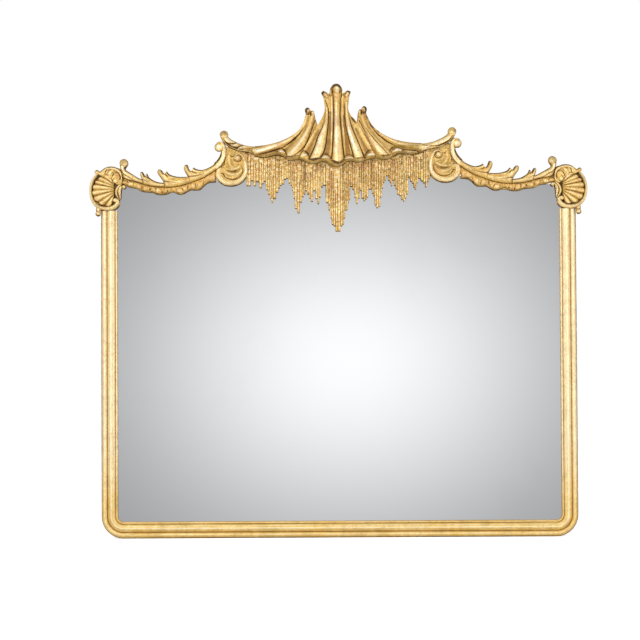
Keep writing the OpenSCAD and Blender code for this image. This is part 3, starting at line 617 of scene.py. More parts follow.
# Corner medallions
# Dark strokes in the medallions are painted shadow in the gaps between ring, shell and crescent, at the leaf's
# left end and on the ear's underside
ring = dict(
    path=[[-716, 1092, 3, 10], [-727.5, 1080.5, 4.6, 14], [-736.8, 1062, 4.8, 15], [-740.6, 1040, 4.5, 16],
          [-737.3, 1017, 4.8, 16], [-728, 1000, 5.2, 16], [-713, 989, 5.8, 16], [-697, 985.8, 6, 16],
          [-682, 986.3, 6.4, 16], [-669.5, 991, 7.2, 16], [-662.2, 999, 7, 16], [-660.6, 1007.5, 5.4, 15],
          [-664.5, 1014, 3.8, 15]],
    strokes=[
        groove([-667, 1003, 1.2, -3], [-672, 999.5, 1.6, -5], [-676, 995, 1.2, -2])],
    bead=(-667.5, 1010, 6.2, 12, 20),
)

shell = dict(
    hub=(-672, 1042), start=[-669.5, 1061, 1024], bow=5,
    valleys=[108, 131, 149, 163, 181, 198, 218.5, 240, 264],
    lengths=[42, 50, 54, 57, 60.5, 62, 59, 53, 45], deep=[1, 0.9, 0.55, 1, 0.6, 1, 0.7, 1, 1],
    rib=7.0, swell=12.5,
    strokes=[
        stain([-670, 1060, 5, 0.5], [-671, 1050, 3, 0.2]),
        stain([-668, 1054, 4, 1], [-667, 1040, 4, 1], [-669, 1026, 4, 1])],
)


# Scallop: rungs run from a short upright hub to a fan of ends whose lengths bow out between valleys
def shellPlace(u, v):
    n = np.arange(len(shell["valleys"]))
    s = n[-1] * (1 - u)
    a = np.radians(np.interp(s, n, shell["valleys"]))
    r = np.interp(s, n, shell["lengths"]) + shell["bow"] * np.abs(np.sin(np.pi * s)) ** 0.7
    x0, z0 = shell["start"][0], np.interp(s, [0, n[-1]], shell["start"][1:])
    return x0 + (shell["hub"][0] + r * np.cos(a) - x0) * v, z0 + (shell["hub"][1] + r * np.sin(a) - z0) * v


# Height over the scallop: a swelling from the hub that falls to the rim, and round ribs parted by valleys
def shellDepth(u, v, x, z):
    n = np.arange(len(shell["valleys"]))
    s = n[-1] * (1 - u)
    lobe = 1 - np.interp(s, n, shell["deep"]) * (1 - np.abs(np.sin(np.pi * s)) ** 0.95)
    swell = shell["swell"] * np.sin(np.pi * (0.16 + 0.68 * v))
    return 1 + swell + shell["rib"] * lobe * np.clip(4 * v, 0, 1) ** 0.7


leafOverShell = dict(
    low=[[-728.5, 1093], [-724, 1089], [-717, 1086], [-711, 1083], [-704, 1079.5], [-697, 1082], [-692, 1083],
         [-689, 1076.5], [-683, 1071.5], [-677, 1070], [-671, 1062], [-664, 1056.5], [-655, 1053],
         [-648.5, 1052]],
    high=[[-728.5, 1096.5], [-724, 1100.8], [-719, 1100.8], [-714, 1096.5], [-707, 1101], [-699, 1107],
          [-690, 1110.5], [-680, 1111.7], [-670, 1110.5], [-661, 1107.5], [-653.5, 1104.5], [-648, 1098],
          [-645.5, 1086], [-644, 1068]],
    strokes=[
        over([-714, 1092, 3, 12], [-703, 1098, 4, 16], [-690, 1103, 5, 20], [-676, 1104, 5.4, 22],
             [-662, 1100.5, 5.6, 22], [-652, 1092, 5.4, 22], [-647, 1080, 4.4, 22], [-647.5, 1068, 4, 21],
             [-653, 1060.5, 3.6, 20], [-662, 1058.5, 2.5, 18]),
        over([-672, 1100, 6, 18], [-680, 1093, 9, 21], [-684, 1084, 7, 20], [-682, 1078.5, 4.5, 17]),
        over([-699, 1097, 5, 15], [-705.5, 1091.5, 6.5, 18], [-710.5, 1087, 4, 16]),
        over([-723, 1095, 6.4, 15], [-721, 1095, 6.4, 16]),
        over([-672, 1079, 2, 12], [-667.5, 1084.5, 3.4, 18], [-660, 1086.5, 3.8, 19],
             [-654.5, 1080, 3.2, 18]),
        groove([-690, 1102, 1.1, -2.4], [-695, 1095, 2, -5.4], [-696.5, 1088.5, 1.7, -4.8]),
        groove([-716, 1087, 1.2, -2.4], [-706, 1082, 1.4, -3], [-697.5, 1086.5, 1.4, -3],
               [-691.5, 1085.5, 1.4, -3], [-689, 1078.5, 1.2, -3], [-683, 1073.5, 1.2, -3],
               [-677.5, 1075, 1.2, -3], [-675, 1081, 1.6, -4.2], [-673, 1084.5, 1.9, -5.4]),
        groove([-673, 1084.5, 1.9, -5.4], [-667.5, 1091, 1.2, -3], [-659, 1092, 1.3, -3],
               [-652.5, 1085, 1.5, -3.6], [-650.8, 1076, 1.6, -4.2], [-655, 1070.5, 1.6, -3.6]),
        groove([-667, 1077, 1.1, -2.4], [-673, 1071.5, 1.2, -3], [-673, 1063.5, 1.4, -3],
               [-665, 1058.5, 1.2, -2.4]),
        stain([-729, 1094, 4, 1], [-726, 1096, 3, 0.5])],
    bead=(-665.5, 1067.3, 7.2, 14, 23),
)

crescent = dict(
    outer=[[-651, 1056, 3, 11], [-657.5, 1050.5, 3.8, 13], [-662.3, 1042, 4, 15], [-663.8, 1032, 3.8, 15],
           [-661, 1022.5, 2.8, 12], [-656, 1015, 1.5, 6], [-652.5, 1012.5, 0.6, 2]],
    inner=[[-648.5, 1052, 2.4, 9], [-653, 1044.5, 4.2, 12], [-654.6, 1035, 4.6, 13], [-654, 1026, 3.4, 11],
           [-653, 1019, 2, 7], [-652, 1014.5, 0.6, 2]],
    bud=(-641.5, 1050.5, 5.4, 4, 13),
)
ear = dict(
    path=[[-717.8, 991, 6.6, 6], [-717.9, 985, 6.5, 7.5], [-718, 979, 6.4, 8], [-718, 972, 6.2, 8]],
    bead=(-718.2, 969.4, 7.6, 8, 18),
    strokes=[
        stain([-725, 984, 4, 1], [-724, 977, 5, 1.2]),
        groove([-724, 979, 1.2, -3], [-718, 978, 1.8, -4], [-712, 979.5, 1.2, -3])],
    beadStrokes=[
        stain([-726, 970, 4, 1.2], [-724, 963.5, 4.5, 1.4], [-718, 961.5, 4.5, 1.4], [-712, 963, 4, 1.2])],
)


# Section of the ring: a half round that is a cosine lower towards both edges
def ringSection(u, c):
    return np.cos(np.pi * c) - 1


# Height of the leaf that arches over the shell: level, with half a sine across
def archedDepth(u, v, x, z):
    return 13 + 3 * np.sin(np.pi * v)


# Tone of the shell: olive at the hub, fading outwards
def shellTone(u, v):
    return 0.5 * (1 - smoothStep(v, 0.02, 0.25))


for side, word in sides:
    makePiece("medallionRing_" + word, [
        carveBand(ring["path"], (190, 16), ring["strokes"], ringSection, side=side),
        bead(*ring["bead"], side=side)], "medallion_ring_" + word)
    makePiece("medallionShell_" + word, [
        carve(shellPlace, shellDepth, (260, 50), shell["strokes"], (2, 2, 3, 4), (0, 0, 0.3, 0.8), side,
              crowd=(0, 0.5), tone=shellTone)], "medallion_shell_" + word)
    makePiece("medallionLeaf_" + word, [
        carve(strip(leafOverShell["low"], leafOverShell["high"]), archedDepth, (190, 90),
              leafOverShell["strokes"], (2, 3, 2, 5), (0.6, 0, 0.3, 1), side, crowd=(0.2, 0.4))],
        "medallion_leaf_" + word)
    makePiece("medallionVolute_" + word, [bead(*leafOverShell["bead"], side=side)],
              "medallion_volute_" + word)
    makePiece("medallionCrescent_" + word, [
        carveBand(crescent["outer"], (90, 14), side=side), carveBand(crescent["inner"], (90, 14), side=side),
        bead(*crescent["bud"], side=side)], "medallion_crescent_" + word)
    makePiece("medallionEar_" + word, [
        carveBand(ear["path"], (60, 16), ear["strokes"], side=side),
        bead(*ear["bead"], ear["beadStrokes"], side)], "medallion_ear_" + word)
print("medallions carved")


# Swept leaves and the rockwork under them. Across a leaf: up from the ridge line over a round belly, down
# into a shallow flute and up to a thin rim; along it, the free tip curls forward with the square of the
# distance left to it.
def leafDepth(tip):
    def depth(u, v, x, z):
        h = 4 + 13 * np.sin(np.pi * np.clip(v * 0.93, 0, 1)) ** 0.7
        h += 2.2 * np.exp(-((v - 0.84) / 0.07) ** 2) * smoothStep(u, 0.15, 0.4)
        h -= 2.4 * np.exp(-((v - 0.68) / 0.1) ** 2)
        return h + tip * (1 - np.minimum(4 * u, 1)) ** 2
    return depth


# Dark strokes on the sweeps are painted shade on the leaves' upper rims and tips and on the finial's upper
# left; pale strokes are painted highlights
sweeps = dict(
    end=dict(
        low=[[-643, 1131], [-651, 1126], [-653.5, 1121], [-653, 1113], [-652, 1106], [-650, 1096],
             [-648, 1086], [-642, 1077]] + onRidge(-630, -615, -600, -584.5),
        high=[[-640, 1131], [-631, 1126], [-628, 1119], [-630, 1113], [-633.5, 1107.5], [-635.5, 1102],
              [-631, 1098], [-621, 1091.5], [-611, 1085], [-603, 1080], [-596, 1076], [-584.5, 1071.5]],
        strokes=[
            over([-641, 1120, 9, 20], [-646, 1110, 5.5, 18], [-645, 1101, 5.5, 17], [-638.5, 1092.5, 6.5, 17],
                 [-627, 1085, 6.5, 17], [-612, 1076, 5.5, 16], [-598, 1070, 4.5, 15]),
            groove([-649.5, 1101, 1.6, -5], [-645, 1092, 2, -6], [-637, 1085, 2.2, -6], [-625, 1078, 2.2, -6],
                   [-612, 1069, 2, -5], [-600, 1064, 1.5, -3]),
            groove([-632, 1095, 1, -2], [-622, 1088, 1.5, -3], [-608, 1079, 1, -2]),
            stain([-627, 1116, 4, 1], [-633, 1110, 5, 1.1], [-636, 1104, 5, 1.1], [-629, 1098, 5.5, 1],
                  [-614, 1088, 5, 1], [-600, 1079, 4.5, 0.9], [-588, 1073, 4, 0.9]),
            soft([-640, 1078, 7, 3], [-630, 1074, 5, 3], [-622, 1071, 4, 2]),
            gloss([-645, 1112, 4, 0.9], [-643.5, 1101, 3, 0.9], [-637, 1091, 3, 0.7])],
        counts=(190, 44), rolls=(3, 0.8, 2, 4), dark=(0.9, 0.3, 0.6, 1), tip=6,
    ),
    finial=(-640.6, 1120.6, 12.6, 11, 23),
    finialStrokes=[
        stain([-654, 1113, 4.5, 0.9], [-654.5, 1122, 5, 1.1], [-647, 1132.5, 5.5, 1.2],
              [-635, 1133, 5.5, 1.1], [-628, 1126, 4.5, 1]),
        stain([-650, 1120, 13, 0.45], [-642, 1127, 13, 0.5], [-634, 1125, 12, 0.4]),
        gloss([-637, 1119, 6, 0.8], [-636, 1121, 6, 0.8])],
    outer=dict(
        low=[[-590, 1094], [-592.5, 1086], [-585.4, 1066], [-584.8, 1060]]
            + onRidge(-582, -573, -561, -548, -536, -520.5),
        high=[[-585, 1095], [-581, 1089], [-577, 1082], [-572, 1090], [-566, 1079], [-557, 1072],
              [-549, 1067.5], [-540, 1064.5], [-532, 1063], [-520.5, 1061.5]],
        strokes=[
            groove([-588, 1073, 1.6, -4], [-578, 1069, 2.2, -5], [-568, 1064, 1.6, -4], [-556, 1060, 1, -1]),
            groove([-577, 1083, 1.5, -4], [-573, 1078, 2, -5], [-564, 1071, 1.4, -3]),
            stain([-592, 1094, 5, 0.8], [-586, 1096, 5, 0.9])],
        counts=(150, 36), rolls=(5, 0.8, 2, 5), dark=(1.1, 0.6, 0.6, 1.1), tip=14,
    ),
    mid=dict(
        low=[[-537, 1101], [-541, 1095], [-538, 1086], [-530, 1075], [-525, 1067], [-521.5, 1057]]
            + onRidge(-519, -508, -493, -479, -465, -446),
        high=[[-532, 1102], [-527, 1098], [-523, 1092], [-519, 1089], [-513, 1096], [-507, 1089],
              [-500, 1085], [-490, 1082], [-480, 1080], [-470, 1079.5], [-459, 1079.5], [-446, 1080.5]],
        strokes=[
            groove([-522, 1066, 1.8, -6], [-508, 1064.5, 2.4, -6], [-495, 1062.5, 2, -4],
                   [-478, 1060.5, 1, -2]),
            groove([-519, 1089, 1.5, -4], [-514, 1083, 2, -5], [-502, 1077, 1.4, -3]),
            stain([-542, 1098, 5, 0.8], [-535, 1103, 5, 0.9])],
        counts=(170, 36), rolls=(5, 0.5, 2, 5), dark=(1.1, 0, 0.6, 1.1), tip=14,
    ),
    inner=dict(
        low=[[-458, 1114], [-462, 1106], [-458, 1093], [-449, 1077], [-448.8, 1065]]
            + onRidge(-447, -437, -424, -410, -396, -382, -366.3),
        high=[[-451, 1116], [-448, 1109], [-445, 1101], [-439, 1097], [-433, 1107], [-427, 1104],
              [-418, 1101], [-407, 1100], [-396, 1103], [-385, 1108], [-375, 1114], [-366.3, 1122]],
        strokes=[
            groove([-451, 1079, 1.8, -6], [-436, 1080, 2.6, -6], [-420, 1082.5, 2.4, -6],
                   [-402, 1087.5, 1.4, -3]),
            groove([-440, 1098, 1.5, -4], [-434, 1093, 2, -5], [-424, 1090.5, 1.4, -3]),
            stain([-464, 1109, 5, 0.8], [-456, 1117, 5, 1]),
            stain([-431, 1106, 4, 1], [-420, 1101.5, 5, 1.2], [-407, 1100, 5.5, 1.2], [-394, 1103.5, 6, 1.1],
                  [-380, 1111, 6.5, 1.1], [-366, 1122, 7, 1.1])],
        counts=(170, 40), rolls=(5, 0.5, 2, 5), dark=(1.1, 0, 0.6, 1.1), tip=14,
    ),
)

rock = dict(
    x0=-651, x1=-367, tone=-0.6,
    line=[[-651, 1056], [-642, 1056], [-634, 1053], [-622, 1049], [-605, 1046], [-588, 1037], [-572, 1035],
          [-556, 1033], [-546, 1029], [-536, 1027], [-524, 1027], [-513, 1029], [-497, 1035], [-482, 1029],
          [-470, 1028], [-460, 1031], [-444, 1040], [-428, 1040], [-414, 1042], [-398, 1056], [-388, 1062],
          [-368, 1064]],
    lumps=[[-638, 1062, 9, 7, 4], [-622, 1058, 12, 7, 5], [-596, 1052, 9, 11, 4], [-577, 1045, 7, 9, 4],
           [-553, 1041, 9, 9, 4], [-538, 1037, 9, 11, 5], [-517, 1038, 7, 10, 5], [-494, 1042, 12, 5, -3],
           [-474, 1037, 11, 9, 5], [-457, 1044, 6, 10, 3], [-436, 1050, 10, 10, 4], [-413, 1055, 8, 12, 4],
           [-385, 1076, 17, 14, 5]],
    cuts=[[[-563, 1046, 1.5, -3], [-563, 1042, 2.6, -6], [-565, 1038, 1.5, -3]],
          [[-527, 1037, 1.5, -3], [-527, 1032, 2.6, -6], [-526, 1028, 2, -3]],
          [[-510, 1040, 1.5, -3], [-510, 1035, 3, -6], [-504, 1033, 2, -3], [-497, 1037, 1.5, -3]],
          [[-466, 1046, 1.5, -2], [-466, 1041, 2.6, -6], [-463, 1036, 2, -3]],
          [[-449, 1057, 1.5, -3], [-450, 1049, 2.6, -6], [-452, 1040, 2, -3]],
          [[-403, 1070, 1.5, -2], [-402, 1062, 2.4, -5], [-404, 1055, 2, -3]],
          [[-588, 1055, 1.4, -2], [-587, 1047, 2.2, -5], [-589, 1040, 2, -3]],
          [[-611, 1064, 1.4, -2], [-612, 1057, 2.2, -5], [-614, 1049, 2, -2]],
          [[-583.6, 1060, 1, -3], [-583.6, 1046, 1, -3], [-583.6, 1034, 1, -3]],
          [[-519, 1050, 1, -3], [-519, 1038, 1, -3], [-519, 1026, 1, -3]],
          [[-545, 1047, 1, -2], [-546, 1040, 1.5, -3], [-545, 1034, 1, -2]],
          [[-427, 1060, 1, -2], [-427, 1052, 1.6, -4], [-425, 1045, 1.2, -2]],
          [[-482, 1036, 1, -2], [-484, 1031, 1.6, -3]],
          [[-633, 1068, 1.4, -3], [-628, 1062, 2, -5], [-630, 1055, 1.4, -3]],
          [[-421, 1060, 1, -1], [-420, 1055, 1.2, -3], [-420, 1049, 1, -1]],
          [[-536, 1040, 0.8, -1], [-535, 1035, 1.3, -3], [-535, 1030, 1, -2]]],
)


# The rockwork runs from its drawn lower line up to just under the ridge, on upright rungs
def rockPlace(u, v):
    x = rock["x0"] + (rock["x1"] - rock["x0"]) * u
    low = np.interp(x, *smoothCurve(rock["line"], np.linspace(0, 1, 300)).T)
    return x, (1 - v) * low + v * (ridge(x) - crest["touch"])


# Rockwork: a low roll, broken by three sines of unrelated length, with flat lumps standing on it, each a
# part of an egg
def rockDepth(u, v, x, z):
    h = 3 + 5.5 * np.sin(np.pi * (0.12 + 0.72 * v))
    h += 0.7 * np.sin(0.42 * x + 2.2 * v) + 0.6 * np.sin(0.83 * x - 3 * v) * np.sin(0.17 * z)
    for cx, cz, rx, rz, lump in rock["lumps"]:
        h += lump * 0.9 * np.clip(1 - ((x - cx) / rx) ** 2 - ((z - cz) / rz) ** 2, 0, 1) ** 0.7
    return h


# Tone of the rockwork: ochre that two sines of unrelated length make uneven
def rockTone(u, v):
    return rock["tone"] * (0.7 + 0.4 * np.sin(37 * u) * np.sin(11 * u))


# Front of one leaf of the sweep, from its own drawing
def sweptLeaf(part, side):
    leaf = sweeps[part]
    return carve(strip(leaf["low"], leaf["high"]), leafDepth(leaf["tip"]), leaf["counts"], leaf["strokes"],
                 leaf["rolls"], leaf["dark"], side)


for side, word in sides:
    makePiece("sweepEnd_" + word, [
        sweptLeaf("end", side), bead(*sweeps["finial"], sweeps["finialStrokes"], side)], "sweep_end_" + word)
    makePiece("sweepOuterLeaf_" + word, [sweptLeaf("outer", side)], "sweep_outer_leaf_" + word)
    makePiece("sweepInnerLeaves_" + word, [sweptLeaf("mid", side), sweptLeaf("inner", side)],
              "sweep_inner_leaves_" + word)
    makePiece("rockwork_" + word, [
        carve(rockPlace, rockDepth, (400, 26), [groove(*cut) for cut in rock["cuts"]], (2, 2, 5, 1.5),
              (0.3, 0.3, 0.75, 1), side, crowd=(0, 0.6), tone=rockTone)], "rockwork_" + word)
print("sweeps carved")


# Cartouches: a strap that scrolls over at the top, a scroll round the field, and soft petals in it; all
# of the right one stands as much higher
cartouche = dict(lift=8)
# The strap's dark left edge and the dark round the top and left of its ball are painted shade, its pale ridge
# and the ball's middle painted highlights; the scroll's pale right side is a painted highlight and the dark
# under its lower rim painted shade
strap = dict(
    path=[[-374, 1105.5, 8.5, 9], [-365, 1112, 10.2, 12], [-354, 1123.5, 10, 14], [-346, 1138, 9.2, 15],
          [-342.6, 1152, 8.4, 16], [-342.2, 1164, 8, 17], [-344, 1173.5, 6.6, 18], [-349, 1180, 4.2, 17],
          [-356, 1181.5, 2.6, 15], [-363, 1179.5, 1.6, 12]],
    strokes=[
        rib([-362, 1104.5, 3.4, 2], [-348, 1119, 3.4, 3], [-339.5, 1138, 3.4, 4], [-337.5, 1156, 3.2, 4],
            [-338, 1170, 2.6, 3]),
        gloss([-362, 1104.5, 3.6, 0.5], [-348, 1120, 3.8, 0.8], [-340, 1138, 3.8, 1], [-338, 1156, 3.4, 0.9],
              [-338, 1170, 2.6, 0.5]),
        stain([-379, 1109, 6, 1.1], [-366, 1121, 7, 1.1], [-356, 1134, 6.5, 1.1], [-351.5, 1145, 6, 1.3],
              [-351.5, 1153, 4, 1.2]),
        groove([-350, 1174, 1.6, -4], [-347, 1166, 2.4, -7], [-347.5, 1157, 2.2, -6], [-351, 1149, 1.8, -4])],
    bead=(-356.3, 1167.2, 13.0, 10, 20),
    beadStrokes=[
        stain([-344, 1182, 4.5, 0.9], [-356, 1183, 5, 1], [-367, 1177, 5, 1], [-371, 1167, 5, 1.1],
              [-366, 1156, 4.5, 1.1], [-357, 1152.5, 4, 1]),
        groove([-349, 1176, 2, -4], [-359, 1176.5, 2, -4], [-364.5, 1170, 1.6, -3], [-364, 1162, 1.2, -2]),
        gloss([-356, 1169, 6.5, 1], [-355.5, 1163, 6, 1])],
)
scroll = dict(
    path=[[-308.3, 1131, 1.8, 12], [-307.5, 1139.5, 2.8, 14], [-300.5, 1145.8, 3.4, 15], [-291, 1145, 4, 16],
          [-283.7, 1136, 5, 16], [-279.2, 1122, 5.8, 16], [-276.8, 1105, 6.4, 16], [-278.5, 1089, 6.8, 16],
          [-285.5, 1075.5, 7.2, 16], [-297, 1066, 7.6, 16], [-311, 1060.5, 8, 16], [-326, 1059.5, 8, 16],
          [-341, 1063.5, 8.5, 16], [-352.5, 1073, 9, 15], [-358.3, 1085, 9.2, 14], [-356.5, 1097, 8, 13],
          [-349, 1102, 5, 11], [-341, 1101.5, 2.5, 9]],
    strokes=[
        gloss([-276, 1118, 4, 0.5], [-274, 1100, 4.5, 0.9], [-277, 1084, 4.5, 0.7], [-290, 1067, 4, 0.4]),
        stain([-363, 1073, 3, 0.4], [-354, 1062, 3, 0.8], [-340, 1053, 3.5, 0.9], [-322, 1050, 3.5, 0.9],
              [-304, 1053, 3, 0.8])],
    bead=(-300.2, 1133.6, 7.4, 13, 21),
)
petals = dict(
    low=[[-360, 1094], [-355, 1078], [-344, 1065], [-330, 1058.5], [-315, 1057], [-300, 1060], [-288, 1068],
         [-279, 1080], [-274, 1094], [-272.5, 1104]],
    high=[[-359, 1098], [-352, 1105], [-343, 1112], [-338, 1126], [-337, 1146], [-335, 1168], [-320, 1165],
          [-305, 1160], [-290, 1157], [-277, 1152], [-270, 1122]],
    strokes=[
        soft([-324, 1150, 6, 3], [-327, 1130, 10, 6], [-322, 1113, 8, 5], [-312, 1108, 4, 2]),
        soft([-334, 1104, 5, 3], [-318, 1101, 7, 6], [-303, 1104, 7, 6], [-292, 1112, 5, 3]),
        soft([-337, 1092, 6, 3], [-318, 1085, 9, 7], [-300, 1087, 9, 6], [-289, 1098, 6, 4]),
        soft([-335, 1079, 5, 3], [-318, 1075, 5, 4], [-300, 1079, 6, 3]),
        groove([-339, 1114, 1.1, -2.4], [-331, 1105.5, 1.4, -3.6], [-323, 1102.5, 1.9, -5.4]),
        groove([-331, 1096.5, 1, -1.8], [-318, 1093.8, 1.2, -3], [-311, 1094.5, 1.4, -3.6],
               [-306, 1098, 1.8, -4.8]),
        groove([-318, 1086, 0.9, -0.6], [-308, 1085, 1.1, -2.4], [-299, 1087.5, 0.9, -0.6]),
        groove([-328, 1150, 1.1, -2.4], [-323.5, 1144, 1.5, -3.6], [-318.5, 1138.5, 1.8, -4.8],
               [-311, 1140, 1.4, -3.6]),
        groove([-294, 1141, 1.2, -3.6], [-289.5, 1134, 1.6, -4.8], [-292, 1126.5, 1.5, -4.8],
               [-300.5, 1123.3, 1.5, -4.8], [-309, 1126.5, 1.5, -4.8], [-312.5, 1134, 1.2, -3.6]),
        groove([-313, 1117.5, 0.9, -0.6], [-302, 1116.5, 1.2, -2.4], [-292, 1111.5, 1.2, -3],
               [-287.5, 1116, 1.1, -2.4]),
        groove([-335, 1160, 1.1, -3], [-335.7, 1140, 1.2, -3], [-338.5, 1126, 1.4, -3],
               [-339, 1113, 1.2, -3]),
        groove([-358, 1107, 1.2, -3], [-346, 1106.5, 1.4, -3.6], [-336, 1104.5, 1, -1.8]),
        groove([-290.5, 1114, 1, -1.8], [-285, 1100, 1.4, -3.6], [-286.5, 1089, 1.4, -3.6],
               [-295.5, 1077.5, 1.5, -3.6], [-310, 1070.5, 1.5, -3.6], [-325, 1071, 1.5, -3.6],
               [-336, 1076.5, 1.8, -4.2], [-341.5, 1083, 2, -6], [-345.5, 1089.5, 2, -6],
               [-351, 1087, 1.4, -3])],
)


# Section of the cartouche's scroll: a narrow valley off its middle, from a third of the way on
def scrollSection(u, c):
    return -2.2 * smoothStep(u, 0.25, 0.45) * np.exp(-((c + 0.4) / 0.2) ** 2)


# The petals stand out from a level ground
def petalDepth(u, v, x, z):
    return 8 + 0 * x


for side, word in sides:
    placed = dict(side=side, lift=cartouche["lift"])
    makePiece("scrollStrap_" + word, [
        carveBand(strap["path"], (150, 26), strap["strokes"], upright=True, **placed),
        bead(*strap["bead"], strap["beadStrokes"], **placed)], "scroll_strap_" + word)
    makePiece("cartoucheScroll_" + word, [
        carveBand(scroll["path"], (260, 24), scroll["strokes"], scrollSection, **placed),
        bead(*scroll["bead"], **placed)], "cartouche_scroll_" + word)
    makePiece("cartouchePetals_" + word, [
        carve(strip(petals["low"], petals["high"]), petalDepth, (130, 120), petals["strokes"], (1, 1, 1, 3),
              crowd=(0, 0), tone=0.22, **placed)], "cartouche_petals_" + word)
print("cartouches carved")


